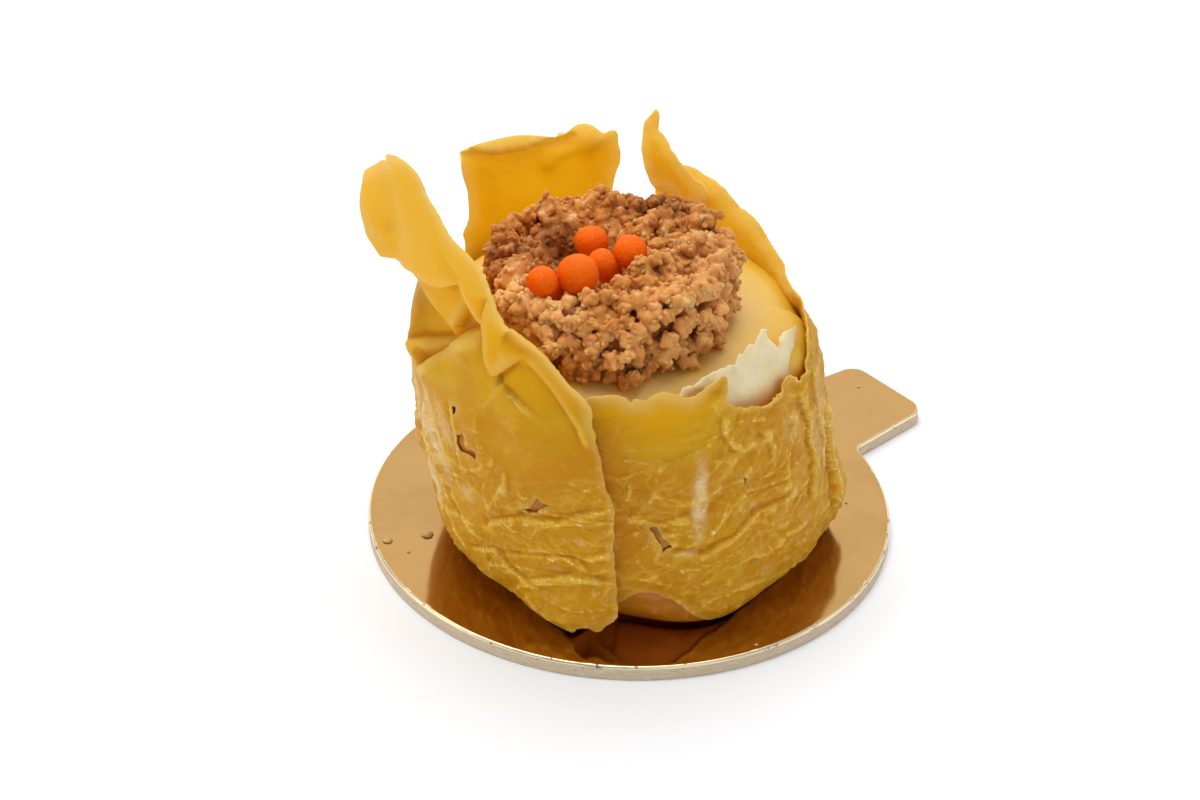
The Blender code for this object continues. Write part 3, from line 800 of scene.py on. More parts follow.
def wrapper_material(look):
    made, tree, shader = new_material("yellow dough skin")
    at = coordinates(tree)
    broad = noise_value(tree, at, 9.0, 2.0)
    mottle = noise_value(tree, at, 1.6, 4.0, 0.6, 0.4)
    flour = noise_value(tree, at, 2.4, 5.0, 0.7, 1.2)
    tone = blend(tree, span(tree, broad, 0.35, 0.7, 0.0, 0.35), look.skin, look.deep)
    tone = blend(tree, span(tree, mottle, 0.5, 0.75, 0.0, 0.25), tone, look.rim)
    # painted light: the petals and the upward-facing rim band are painted brighter
    tone = blend(tree, calc(tree, "MULTIPLY", field(tree, "petal"), 0.85), tone, look.petal)
    # painted shade in the sunk creases and under the seam's flap
    tone = blend(tree, calc(tree, "MULTIPLY", field(tree, "valley"), 0.65), tone, look.deep)
    # painted highlight on the raised creases, and painted light on the petal faces that catch the
    # light
    tone = blend(tree, span(tree, field(tree, "ridge"), 0.15, 1.0, 0.0, 0.55), tone, look.rim)
    floury = calc(tree, "MULTIPLY", field(tree, "crinkled"), span(tree, flour, 0.55, 0.72))
    floury = calc(tree, "MULTIPLY", floury, 0.35)
    # pale spots: floury spots, and painted light on the sides of the wall
    spots = calc(tree, "MULTIPLY", field(tree, "pale"), span(tree, flour, 0.35, 0.6, 0.25, 1.0))
    tone = blend(tree, calc(tree, "MAXIMUM", floury, spots), tone, look.pale)
    # painted highlight on the raised ridges of the petals
    thin = calc(tree, "MULTIPLY", field(tree, "ridge"), field(tree, "petal"))
    tone = blend(tree, calc(tree, "MULTIPLY", thin, 0.28), tone, look.light)
    # painted glow of light through the thin edges, together with the thinner dough's paler tone
    tone = blend(tree, calc(tree, "MULTIPLY", field(tree, "edge"), 0.85), tone, look.light)
    share_of = span(tree, field(tree, "crinkled"), 0.0, 1.0, 0.1, 1.0)
    along = coordinates(tree, (0.6, 0.6, 1.0), (0.0, 0.45, 0.0))
    large = crease_value(tree, along, 7.0)
    small = crease_value(tree, along, 3.6)
    lines = calc(tree, "MULTIPLY", calc(tree, "MAXIMUM", large, small), share_of)
    # painted highlight along the crease lines
    tone = blend(tree, calc(tree, "MULTIPLY", lines, 0.22), tone, look.rim)
    # painted glints: tiny highlights on the raised creases of the crinkled wall
    speck = span(tree, noise_value(tree, at, 0.5, 2.0, 0.5), 0.60, 0.66, 0.0, 0.8)
    speck = calc(tree, "MULTIPLY", speck, span(tree, field(tree, "ridge"), 0.3, 1.0))
    speck = calc(tree, "MULTIPLY", speck, field(tree, "crinkled"))
    tone = blend(tree, speck, tone, (1.0, 0.86, 0.40))
    put(shader.inputs["Base Color"], tone)
    rough = span(tree, noise_value(tree, at, 2.2, 3.0), 0.3, 0.7, 0.38, 0.54)
    put(shader.inputs["Roughness"], rough)
    shader.inputs["Specular IOR Level"].default_value = 0.12
    soft_flesh(shader, 0.5, 0.7, (0.8, 0.6, 0.25))
    fine = noise_value(tree, coordinates(tree, (1.0, 1.0, 1.8)), 0.9, 4.0, 0.6, 0.6)
    grain = noise_value(tree, at, 0.28, 2.0)
    facets = noise_value(tree, along, 3.4, 1.0, 0.4, 0.6)
    normal = relief(tree, calc(tree, "MULTIPLY", facets, share_of), 0.55, 1.0)
    normal = relief(tree, lines, 0.09, 1.0, normal)
    normal = relief(tree, grain, 0.03, 0.5, relief(tree, fine, 0.09, 0.7, normal))
    put(shader.inputs["Normal"], normal)
    through = tree.nodes.new("ShaderNodeBsdfTranslucent")
    put(through.inputs["Color"], look.glow)
    put(through.inputs["Normal"], normal)
    both = tree.nodes.new("ShaderNodeMixShader")
    put(both.inputs["Fac"], span(tree, field(tree, "petal"), 0.0, 1.0, 0.08, 0.5))
    tree.links.new(shader.outputs["BSDF"], both.inputs[1])
    tree.links.new(through.outputs["BSDF"], both.inputs[2])
    output = tree.nodes["Material Output"]
    tree.links.new(both.outputs["Shader"], output.inputs["Surface"])
    return made


def film_material(look):
    made, tree, shader = new_material("torn white film")
    at = coordinates(tree)
    cloud = noise_value(tree, at, 2.5, 4.0, 0.6, 0.5)
    tone = blend(tree, span(tree, cloud, 0.35, 0.7, 0.0, 0.4), look.film, (1.0, 0.88, 0.62))
    tone = blend(tree, field(tree, "low"), tone, look.film_low)
    put(shader.inputs["Base Color"], tone)
    shader.inputs["Roughness"].default_value = 0.42
    soft_flesh(shader, 0.4, 1.2, (1.0, 0.7, 0.4))
    fine = noise_value(tree, at, 0.9, 4.0, 0.6, 0.5)
    put(shader.inputs["Normal"], relief(tree, fine, 0.12, 0.6))
    return made


def core_material(look):
    made, tree, shader = new_material("pale smooth core")
    at = coordinates(tree)
    cloud = noise_value(tree, at, 6.0, 3.0, 0.5, 0.4)
    tone = blend(tree, span(tree, cloud, 0.4, 0.75, 0.0, 0.35), look.cream, (0.92, 0.76, 0.44))
    # yellower towards the wrapper on the right
    tone = blend(tree, field(tree, "stain"), tone, look.stain)
    tone = blend(tree, field(tree, "side"), tone, look.film_low)
    put(shader.inputs["Base Color"], tone)
    put(shader.inputs["Roughness"], span(tree, cloud, 0.3, 0.7, 0.34, 0.46))
    soft_flesh(shader, 0.5, 2.5, (1.0, 0.6, 0.25))
    fine = noise_value(tree, at, 1.1, 4.0, 0.55)
    put(shader.inputs["Normal"], relief(tree, fine, 0.08, 0.5))
    return made


def mince_material(look, name, lighter):
    made, tree, shader = new_material(name)
    at = coordinates(tree)
    split = tree.nodes.new("ShaderNodeSeparateXYZ")
    put(split.inputs["Vector"], at)
    # painted light: the front of the heap is painted lighter, on top of lighter meat at random
    front = span(tree, split.outputs["Y"], -0.004, -0.020, 0.0, 0.25)
    broad = noise_value(tree, at, 5.0, 3.0, 0.55, 0.5)
    mottle = noise_value(tree, at, 1.7, 4.0, 0.6, 0.4)
    raised = field(tree, "raised")
    lighter_meat_and_lit_front = calc(tree, "ADD", front, span(tree, broad, 0.38, 0.66, 0.0, 0.6 + lighter))
    lighter_meat_and_lit_front.node.use_clamp = True
    tone = blend(tree, lighter_meat_and_lit_front, look.meat, look.light)
    tone = blend(tree, span(tree, mottle, 0.54, 0.68, 0.0, 0.75), tone, (0.92, 0.64, 0.29))
    # painted highlight on the bits that stand out
    tone = blend(tree, span(tree, raised, 0.1, 0.6, 0.0, 0.45), tone, look.light)
    tone = blend(tree, span(tree, mottle, 0.45, 0.25, 0.0, 0.4), tone, look.dark)
    # painted shade in the gaps between the bits
    tone = blend(tree, span(tree, raised, 0.0, -0.6, 0.0, 0.8), tone, look.dark)
    tone = spot(tree, at, tone, SHADED_SIDE)
    # painted light on the right front of the heap
    east = span(tree, split.outputs["X"], -0.004, 0.012, 0.0, 0.3)
    east = calc(tree, "MULTIPLY", east, span(tree, split.outputs["Y"], 0.002, -0.008))
    tone = blend(tree, east, tone, (0.88, 0.52, 0.20))
    # painted shade on the back right of the heap
    back = span(tree, split.outputs["Y"], -0.002, 0.006, 0.0, 0.6)
    back = calc(tree, "MULTIPLY", back, span(tree, split.outputs["X"], -0.006, 0.004))
    tone = blend(tree, back, tone, look.dark)
    tone = spot(tree, at, tone, LIGHT_SIDE)
    tone = spot(tree, at, tone, CAVITY_SHADE)
    put(shader.inputs["Base Color"], tone)
    shader.inputs["Roughness"].default_value = 0.42
    shader.inputs["Specular IOR Level"].default_value = 0.14
    soft_flesh(shader, 0.55, 1.1, (1.0, 0.45, 0.2))
    fine = noise_value(tree, at, 0.55, 3.0, 0.6, 0.3)
    put(shader.inputs["Normal"], relief(tree, fine, 0.19, 0.9))
    return made


def pearl_material(look):
    made, tree, shader = new_material("orange pearl flesh")
    at = coordinates(tree)
    speck = noise_value(tree, at, 0.35, 3.0, 0.7)
    deep = tuple(part * 0.7 for part in look.flesh)
    tone = blend(tree, span(tree, speck, 0.35, 0.65, 0.0, 0.6), look.flesh, deep)
    put(shader.inputs["Base Color"], tone)
    shader.inputs["Roughness"].default_value = 0.5
    shader.inputs["Specular IOR Level"].default_value = 0.12
    soft_flesh(shader, 0.3, 1.0, (1.0, 0.25, 0.05))
    fine = noise_value(tree, at, 0.3, 2.0, 0.6)
    put(shader.inputs["Normal"], relief(tree, fine, 0.07, 0.7))
    return made


def foil_material(look):
    made, tree, shader = new_material("gold foil")
    at = coordinates(tree)
    wave = noise_value(tree, at, 26.0, 1.0)
    dust = noise_value(tree, at, 0.5, 2.0, 0.7)
    haze = noise_value(tree, at, 12.0, 3.0, 0.6)
    dull = tuple(part * 0.9 for part in look.foil)
    put(shader.inputs["Base Color"], blend(tree, span(tree, haze, 0.4, 0.7), look.foil, dull))
    shader.inputs["Metallic"].default_value = 1.0
    rough = span(tree, haze, 0.3, 0.8, look.gloss * 0.9, look.gloss * 1.25)
    put(shader.inputs["Roughness"], rough)
    normal = relief(tree, wave, 0.10, 0.5)
    put(shader.inputs["Normal"], relief(tree, dust, 0.004, 0.4, normal))
    return made


def highlit_worn_edge_material(look):
    """Foil on the card's rounded edge in a whiter colour, a painted highlight, rubbed through in
    small spots.
    """
    made, tree, shader = new_material("worn foil edge")
    rub = noise_value(tree, coordinates(tree), 1.6, 3.0, 0.7)
    highlight_and_wear = span(tree, rub, 0.60, 0.66)
    put(shader.inputs["Base Color"], blend(tree, highlight_and_wear, look.edge, (0.30, 0.14, 0.05)))
    put(shader.inputs["Metallic"], span(tree, highlight_and_wear, 0.0, 1.0, 1.0, 0.0))
    shader.inputs["Roughness"].default_value = 0.28
    return made


def board_material(look):
    made, tree, shader = new_material("cut grey board")
    fibre = noise_value(tree, coordinates(tree, (1.0, 1.0, 7.0)), 1.4, 4.0, 0.7)
    speck = noise_value(tree, coordinates(tree), 0.7, 2.0, 0.5)
    tone = blend(tree, span(tree, fibre, 0.35, 0.7), look.board, (0.76, 0.64, 0.48))
    tone = blend(tree, span(tree, speck, 0.66, 0.74, 0.0, 0.7), tone, (0.42, 0.20, 0.10))
    put(shader.inputs["Base Color"], tone)
    shader.inputs["Roughness"].default_value = 0.85
    put(shader.inputs["Normal"], relief(tree, fibre, 0.12, 0.8))
    return made


def oil_material():
    made, tree, shader = new_material("golden oil")
    tint = noise_value(tree, coordinates(tree), 1.0, 2.0)
    put(shader.inputs["Base Color"], blend(tree, tint, (0.85, 0.58, 0.22), (0.72, 0.42, 0.12)))
    shader.inputs["Roughness"].default_value = 0.12
    shader.inputs["IOR"].default_value = 1.46
    shader.inputs["Transmission Weight"].default_value = 0.25
    return made


# ---------------------------------------------------------------- wrapper
def crinkles(points):
    """Procedural creases of the skin: thin ridges between gently curved facets."""
    warp_x = noise_at(points, 0.11, 3.0) * 3.0
    warp_y = noise_at(points, 0.13, 5.0) * 2.2
    bent = points + np.stack((warp_x, warp_y), axis=1)
    level = noise_at(bent, (0.075, 0.26), 11.0)
    slant = bent @ np.array(((0.82, -0.57), (0.57, 0.82)))
    cross = noise_at(slant, (0.10, 0.34), 17.0)
    steep = noise_at(bent, (0.34, 0.10), 29.0)
    thin = np.exp(-(level / 0.07) ** 2) + 0.8 * np.exp(-(cross / 0.06) ** 2)
    thin += 0.6 * np.exp(-(steep / 0.05) ** 2)
    facets = 0.9 * level + 0.8 * cross + 0.5 * steep
    return thin * 0.75 + facets * 0.9 + 0.35 * noise_at(bent, 0.9, 41.0, 2)


def crinkled_share(turn, height):
    """How strongly the skin is crinkled, from 0 on the petals to 1 low on the wall."""
    low = smooth((36.0 - height) / 8.0)
    side = smooth((44.0 - height) / 6.0) * (turn < 60)
    share_of = np.maximum(low, side)
    far = np.hypot((turn - 247) / 17.0, (height - 36) / 12.5)
    share_of = share_of * (1.0 - 0.9 * smooth(1.6 * (1.0 - far)))
    band = smooth(1.0 - np.abs(turn + 76) / 20.0) * smooth((height - 31.0) / 5.0)
    unseen = smooth((turn - 20.0) / 30.0) * smooth((212.0 - turn) / 20.0)
    calm = unseen * (0.3 + 0.7 * smooth((height - 24.0) / 14.0))
    return share_of * (1.0 - 0.8 * band) * (1.0 - 0.6 * calm)


def wall_radius(turn, height):
    radius = table(BARREL, height) + SEAM_LIFT * smooth((turn - SPIRAL_FROM) / SPIRAL_SPAN)
    radius = radius + table(DRAWN_IN, turn) * smooth((height - 35.0) / 4.0)
    for spec in SWELLS:
        radius = radius + swell(turn, height, spec)
    return radius


def lip(turn, far):
    """The outward curl of the torn edge; far is the distance below it."""
    right = smooth((turn - 9) / 14.0) * smooth((68.0 - turn) / 8.0)
    back = smooth((turn - 90) / 8.0) * smooth((138.0 - turn) / 6.0)
    flap = smooth((turn - 236) / 8.0) * smooth((266.0 - turn) / 4.0)
    size = 0.35 + 1.7 * right + 2.2 * back + 0.5 * flap
    reach = 1.4 + 2.6 * right + 3.6 * back
    return size * np.clip(1.0 - far / reach, 0.0, 1.0) ** 1.6


def faces_front(points):
    """Which sheet points lie where the skin faces the front."""
    turn = points[:, 0] / ARC
    return ((turn > FINE_RIGHT[0]) & (turn < FINE_RIGHT[1])) | (turn > FINE_LEFT)


def skin_lift(points, depth):
    """How far folds, crinkles and broad waves push the wall outwards; depth is of crinkles."""
    turn, height = points[:, 0] / ARC, points[:, 1]
    folds = sum(fold_offset(points, spec) for spec in FOLDS)
    creases = crinkles(points) * depth * (0.12 + 0.88 * crinkled_share(turn, height))
    broad = 0.35 * noise_at(points, 0.09, 51.0, 2)
    lift = folds + (creases + broad) * smooth((height - FOOT_LEVEL) / 2.5)
    return lift * (1.0 - 0.85 * smooth((-86.0 - turn) / 8.0))


def skin_fields(turn, height, edge_far, bumpy):
    """Fields that colour the skin: painted light and shade on thin edges, ridges, valleys and
    petals, and pale places.
    """
    stretched = petal_share(turn, height)
    # painted light on faces that catch more light: the left petal's outer face, its lobe and the
    # inner right wall
    outside_petal = 0.5 * smooth((height - 50.0) / 8.0) * (turn > 165.0)
    lobe = smooth((198.5 - 2.33 * (height - 52.2) - turn) / 3.0) * smooth((height - 46.0) / 3.0)
    lobe = 0.95 * lobe * smooth((62.0 - height) / 4.0) * (turn > 165.0)
    at_back = smooth((turn - 84.0) / 6.0) * smooth((150.0 - turn) / 8.0)
    inside_right = 0.5 * smooth((turn + 6.0) / 12.0) * smooth((78.0 - turn) / 8.0)
    outside_petal = np.maximum(np.maximum(outside_petal, lobe), inside_right * stretched)
    in_shade = 0.75 * np.exp(-((turn + 93.0) / 9.0) ** 2) * smooth((height - 12.0) / 4.0)
    in_shade = in_shade * smooth((42.0 - height) / 6.0)
    return {
        "edge": smooth(1.0 - edge_far / (1.0 + 1.8 * stretched)) * (0.25 + 0.75 * stretched),
        "ridge": np.maximum(smooth(bumpy / 0.28) * (1.0 - 0.6 * at_back), outside_petal),
        "valley": np.maximum(smooth(-bumpy / 0.34) * (1.0 - 0.4 * at_back), in_shade),
        "crinkled": crinkled_share(turn, height),
        "petal": stretched,
        "pale": flour_and_side_light_share(turn, height),
    }


def wrapper_skin(look):
    """Points, polygons and surface fields of the one wrapper sheet."""
    step = look.grid / MM
    scale = np.array((ARC, 1.0, 1.0))
    outline = [row * scale for row in np.array(RIM + SEAM_EDGE + FOOT_EDGE)]
    loops = [ragged_loop(outline[::-1], step * 1.1, 2.0)]
    for number, tear in enumerate(TEARS):
        rows = [(turn * ARC, height, 0.1) for turn, height in tear]
        loops.append(ragged_loop(rows, step * 0.6, 20.0 + number))
    points, faces = fill_outline(loops, step * 1.65, step, faces_front)
    turn, height = points[:, 0] / ARC, points[:, 1]
    rim_line = even_line(np.array(RIM) * scale, 0.3)[:, :2]
    rim_far = distance_to(points, rim_line)
    edge_far = distance_to(points, np.concatenate(loops))
    lift = skin_lift(points, look.wrinkle / MM) + lip(turn, rim_far)
    middle = place(turn, wall_radius(turn, height) + lift, height)
    thin = 0.36 + 0.64 * smooth(edge_far / 2.0)
    stretched = petal_share(turn, height)
    thin = thin * (1.0 - 0.3 * stretched)
    points3, polygons, source = thicken(middle, faces, look.thickness / MM * thin)
    points3[:, 2] = np.maximum(points3[:, 2], CARD_TOP + 0.02)
    bumpy = lift - soften(lift, faces, 14)
    fields = skin_fields(turn, height, edge_far, bumpy)
    return points3, polygons, {name: values[source] for name, values in fields.items()}


def petal_share(turn, height):
    """Where the skin is stretched thin, and painted brighter for light shining through it: the
    petals, the inner right wall and the upward-facing rim band.
    """
    behind = smooth((turn - 2.0) / 12.0) * smooth((150.0 - turn) / 8.0)
    band = smooth(1.4 - np.abs(turn + 78) / 18.0) * smooth((height - 29.0) / 11.0)
    made = np.maximum(smooth((height - 43.0) / 9.0), behind * smooth((height - 30.0) / 12.0))
    pocket = np.hypot((turn - 211.0) / 20.0, (height - 44.0) / 8.0)
    flap = smooth((turn - 228.0) / 8.0) * smooth((height - 35.0) / 10.0)
    made = np.maximum(made, smooth(1.8 * (1.0 - pocket)) * (turn > 180.0))
    return np.maximum(np.maximum(made, 0.85 * flap), band)


def flour_and_side_light_share(turn, height):
    """Pale places as soft slanted spots: floury spots, and painted light on the sides of the wall.
    """
    made = np.zeros_like(turn)
    for at_turn, at_height, spread_turn, spread_height, tilt, strength in FLOUR_AND_SIDE_LIGHT:
        angle = math.radians(tilt)
        x, y = (turn - at_turn) * ARC, height - at_height
        across = (x * math.cos(angle) + y * math.sin(angle)) / (spread_turn * ARC)
        up = (y * math.cos(angle) - x * math.sin(angle)) / spread_height
        made = np.maximum(made, strength * smooth(1.3 * (1.0 - np.hypot(across, up))))
    return made


def right_petal(look):
    """The right petal: a layer that rises from inside the wall to a pointed tip."""
    step = look.grid / MM
    rows = [(turn * ARC, height, rough) for turn, height, rough in RIGHT_PETAL]
    loop = ragged_loop(rows, step * 0.6, 71.0)
    points, faces = fill_outline([loop], step * 0.8)
    turn, height = points[:, 0] / ARC, points[:, 1]
    hang = smooth((51.0 - height) / 5.0)
    lean = smooth((height - 50.0) / 9.0)
    lift = -0.9 - 1.2 * hang + 2.4 * lean + 0.25 * noise_at(points, 0.5, 73.0)
    middle = place(turn, wall_radius(turn, height) + lift, height)
    edge_far = distance_to(points, loop)
    thin = 0.3 + 0.25 * smooth(edge_far / 1.2)
    points3, polygons, source = thicken(middle, faces, thin)
    blank = np.zeros(len(points))
    # painted highlight over the whole petal, painted petal brightness and painted glow at its
    # edges
    fields = {"edge": smooth(1.0 - edge_far / 2.4), "ridge": blank + 0.3, "valley": blank,
              "crinkled": blank, "petal": blank + 1.0, "pale": blank}
    return points3, polygons, {name: values[source] for name, values in fields.items()}


def join_parts(parts):
    """Several (points, polygons, fields) as one."""
    points, polygons, first = [], [], 0
    for some, faces, _ in parts:
        points.append(some)
        polygons += [tuple(index + first for index in face) for face in faces]
        first += len(some)
    names = parts[0][2]
    fields = {name: np.concatenate([part[2][name] for part in parts]) for name in names}
    return np.concatenate(points), polygons, fields


class MESH_OT_siu_mai_wrapper(bpy.types.Operator):
    """Make the crinkled yellow wrapper with its petals, folds, tears and seam"""

    bl_idname = "mesh.siu_mai_wrapper"
    bl_label = "Wrapper"

    def execute(self, context):
        look = context.scene.siu_mai_wrapper
        parts = [wrapper_skin(look), right_petal(look)]
        points, polygons, fields = join_parts(parts)
        piece = add_mesh("dough_wrapper", points, polygons, wrapper_material(look), fields)
        finish_piece(piece, ("wrapper",))
        return {"FINISHED"}


# ---------------------------------------------------------------- core and film
class MESH_OT_siu_mai_core(bpy.types.Operator):
    """Make the smooth pale core and the torn white film round it"""

    bl_idname = "mesh.siu_mai_core"
    bl_label = "Core and Film"

    def execute(self, context):
        look = context.scene.siu_mai_core
        finish_piece(make_core(look), ("core",))
        crinkle = context.scene.siu_mai_wrapper.wrinkle / MM
        finish_piece(make_film(look, crinkle), ("coat",))
        return {"FINISHED"}


def make_core(look):
    turns = np.arange(CORE_SEGMENTS) * 360.0 / CORE_SEGMENTS
    around_back = (turns + 180.0) % 360.0 - 180.0
    right = smooth((around_back + 34.0) / 16.0) * smooth((95.0 - around_back) / 20.0)
    narrow = smooth((around_back + 48.0) / 26.0) * smooth((95.0 - around_back) / 20.0)
    shoulder = CORE_SHOULDER * (1.0 - 0.12 * narrow)

    def side_radius(rise):
        """The core's side, which follows the drawn-in wrapper high on the right."""
        own = table(BARREL, rise) - CORE_DEPTH
        skin = wall_radius(turns, rise) - 1.5
        return own + (skin - own) * right * smooth((rise - 28.0) / 6.0)

    foot_side = table(BARREL, CORE_FOOT + CORE_FOOT_ROUND) - CORE_DEPTH - CORE_FOOT_ROUND
    foot = [(r, CORE_FOOT) for r in np.linspace(2.0, foot_side - 1.0, FOOT_RINGS)]
    foot += arc((foot_side, CORE_FOOT + CORE_FOOT_ROUND), CORE_FOOT_ROUND, -90, 0, FOOT_RINGS)
    around = np.stack((np.cos(np.radians(turns)), np.sin(np.radians(turns))), axis=1)
    rings = [place(turns, radius, rise) for radius, rise in foot]
    low = CORE_FOOT + CORE_FOOT_ROUND + 1.0
    for part in np.linspace(0.0, 1.0, SIDE_RINGS):
        rise = low + (CORE_TOP - shoulder - 0.5 - low) * part
        dent = 0.12 * noise_at(around * 9.0 + part * 4.0, 0.5, 81.0, 2)
        rings.append(place(turns, side_radius(rise) + np.minimum(0, dent), rise))
    top_side = side_radius(CORE_TOP - shoulder) - shoulder
    for angle in np.radians(np.linspace(0.0, 90.0, SHOULDER_RINGS)):
        dent = -0.05 - 0.10 * np.abs(noise_at(around * 9.0 + angle, 0.4, 83.0, 2))
        rings.append(place(turns, top_side + shoulder * math.cos(angle),
                           CORE_TOP - shoulder * (1.0 - math.sin(angle)) + dent))
    for part in np.linspace(0.94, 0.08, TOP_RINGS):
        dent = -0.05 - 0.15 * np.abs(noise_at(around * 24.0 * part, 0.12, 87.0, 2))
        rings.append(place(turns, top_side * part, CORE_TOP + dent))
    points = np.concatenate(rings + [place(0.0, 0.0, CORE_FOOT)[None],
                                     place(0.0, 0.0, CORE_TOP - 0.1)[None]])
    count = CORE_SEGMENTS
    polygons = ring_faces(len(rings), count)
    bottom, top = len(points) - 2, len(points) - 1
    last = (len(rings) - 1) * count
    for k in range(count):
        after = (k + 1) % count
        polygons.append((bottom, after, k))
        polygons.append((top, last + k, last + after))
    flat = points[:, :2] - (BODY_X - LEAN * (CORE_TOP - CARD_TOP), BODY_Y)
    outwards = smooth((np.hypot(*flat.T) - 18.0) / 7.0)
    on_right = smooth((np.degrees(np.arctan2(flat[:, 1], flat[:, 0])) + 50.0) / 30.0)
    fields = {"stain": np.clip(0.1 + 0.9 * outwards * on_right, 0.0, 1.0),
              "side": smooth((CORE_TOP - 5.0 + 2.0 * on_right - points[:, 2]) / 3.0)}
    return add_mesh("cream_core", points, polygons, core_material(look), fields)


def make_film(look, crinkle):
    step = 0.7
    closing = ((240, COAT_LEVEL, .0), (-96 + 360, COAT_LEVEL, .0), (-96 + 360, COAT_FOOT, .0),
               (-96, COAT_FOOT, .0))
    rows = [(turn * ARC, height, rough) for turn, height, rough in COAT_TEARS + closing]
    loop = ragged_loop(rows[::-1], step * 0.6, 91.0)
    points, faces = fill_outline([loop], step)
    turn, height = points[:, 0] / ARC, points[:, 1]
    torn = smooth((height - 37.0) / 4.0)
    ripple = noise_at(points, (0.35, 0.18), 93.0, 2) * (0.15 + 0.5 * torn)
    crease = 0.5 * torn * np.exp(-(noise_at(points, (0.30, 0.22), 97.0) / 0.10) ** 2)
    lift = np.clip(ripple, -0.3, 0.45) + crease - 0.6 * torn
    upper = table(BARREL, height) - COAT_DEPTH + lift
    cling = smooth((turn + 22.0) / 12.0) * (turn < 180.0)
    upper = upper + (wall_radius(turn, height) - 0.7 - upper) * cling
    under = smooth((turn - 252.0) / 6.0)
    lower = wall_radius(turn, height) * (1.0 - under) + wall_radius(turn - 360.0, height) * under
    lower = lower + skin_lift(points, crinkle) * (1.0 - under) - 0.5 - 0.4 * under
    share_of = smooth((height - 33.0) / 4.0)
    middle = place(turn, upper * share_of + lower * (1.0 - share_of), height)
    thickness = np.full(len(points), look.film_thickness / MM)
    points3, polygons, source = thicken(middle, faces, thickness)
    low = np.maximum(smooth((39.5 - height) / 4.5), 0.8 * smooth((turn + 20.0) / 8.0))
    low = np.where(turn < 180.0, low, 1.0)
    return add_mesh("white_film", points3, polygons, film_material(look), {"low": low[source]})


# ---------------------------------------------------------------- mince
def heap_height(x, y):
    """Height of the heap's upper surface: an uneven rim round a hollow."""
    far = np.hypot(x - HEAP_X, y - HEAP_Y) / HEAP_RADIUS
    lump = 0.8 * np.sin(0.55 * x + 1.3) * np.cos(0.47 * y - 0.4) + 0.5 * np.sin(0.9 * (x - y))
    hollow = smooth(1.0 - np.hypot(x - HOLLOW_X, (y - HOLLOW_Y) * 0.9) / HOLLOW_RADIUS)
    top = HEAP_TOP + lump - HEAP_EDGE_DROP * smooth(4.0 * far - 3.0)
    top = top + (HOLLOW_FLOOR - HEAP_TOP - lump) * smooth(1.6 * hollow)
    for hole_x, hole_y, reach, depth in HOLES:
        top = top - depth * smooth(1.0 - np.hypot(x - hole_x, y - hole_y) / reach)
    for centre, radius in PEARLS:
        aside = np.hypot(x - centre[0], y - centre[1])
        top = np.minimum(top, centre[2] - radius - PEARL_BED + aside ** 2 / (2.0 * radius))
    return top


def heap_edge(turn):
    """Radius of the heap at its widest, by turn in radians; it is flatter on the left."""
    wavy = 1.0 + 0.03 * np.sin(3.0 * turn + 0.6) + 0.02 * np.sin(7.0 * turn)
    flat = 1.5 * np.maximum(0.0, -np.cos(turn)) ** 3 + 1.4 * np.maximum(0.0, np.cos(turn)) ** 2
    return HEAP_RADIUS * wavy - flat


def clumped(x, y, z):
    """Relief of clumps with sharp gaps between them, in millimetres."""
    large = abs(noise.noise(Vector((x, y, z)) * 0.17 + Vector((5.0, 0.0, 0.0))))
    small = abs(noise.noise(Vector((x, y, z)) * 0.40 + Vector((0.0, 7.0, 0.0))))
    return 4.4 * large + 1.0 * small - 1.4


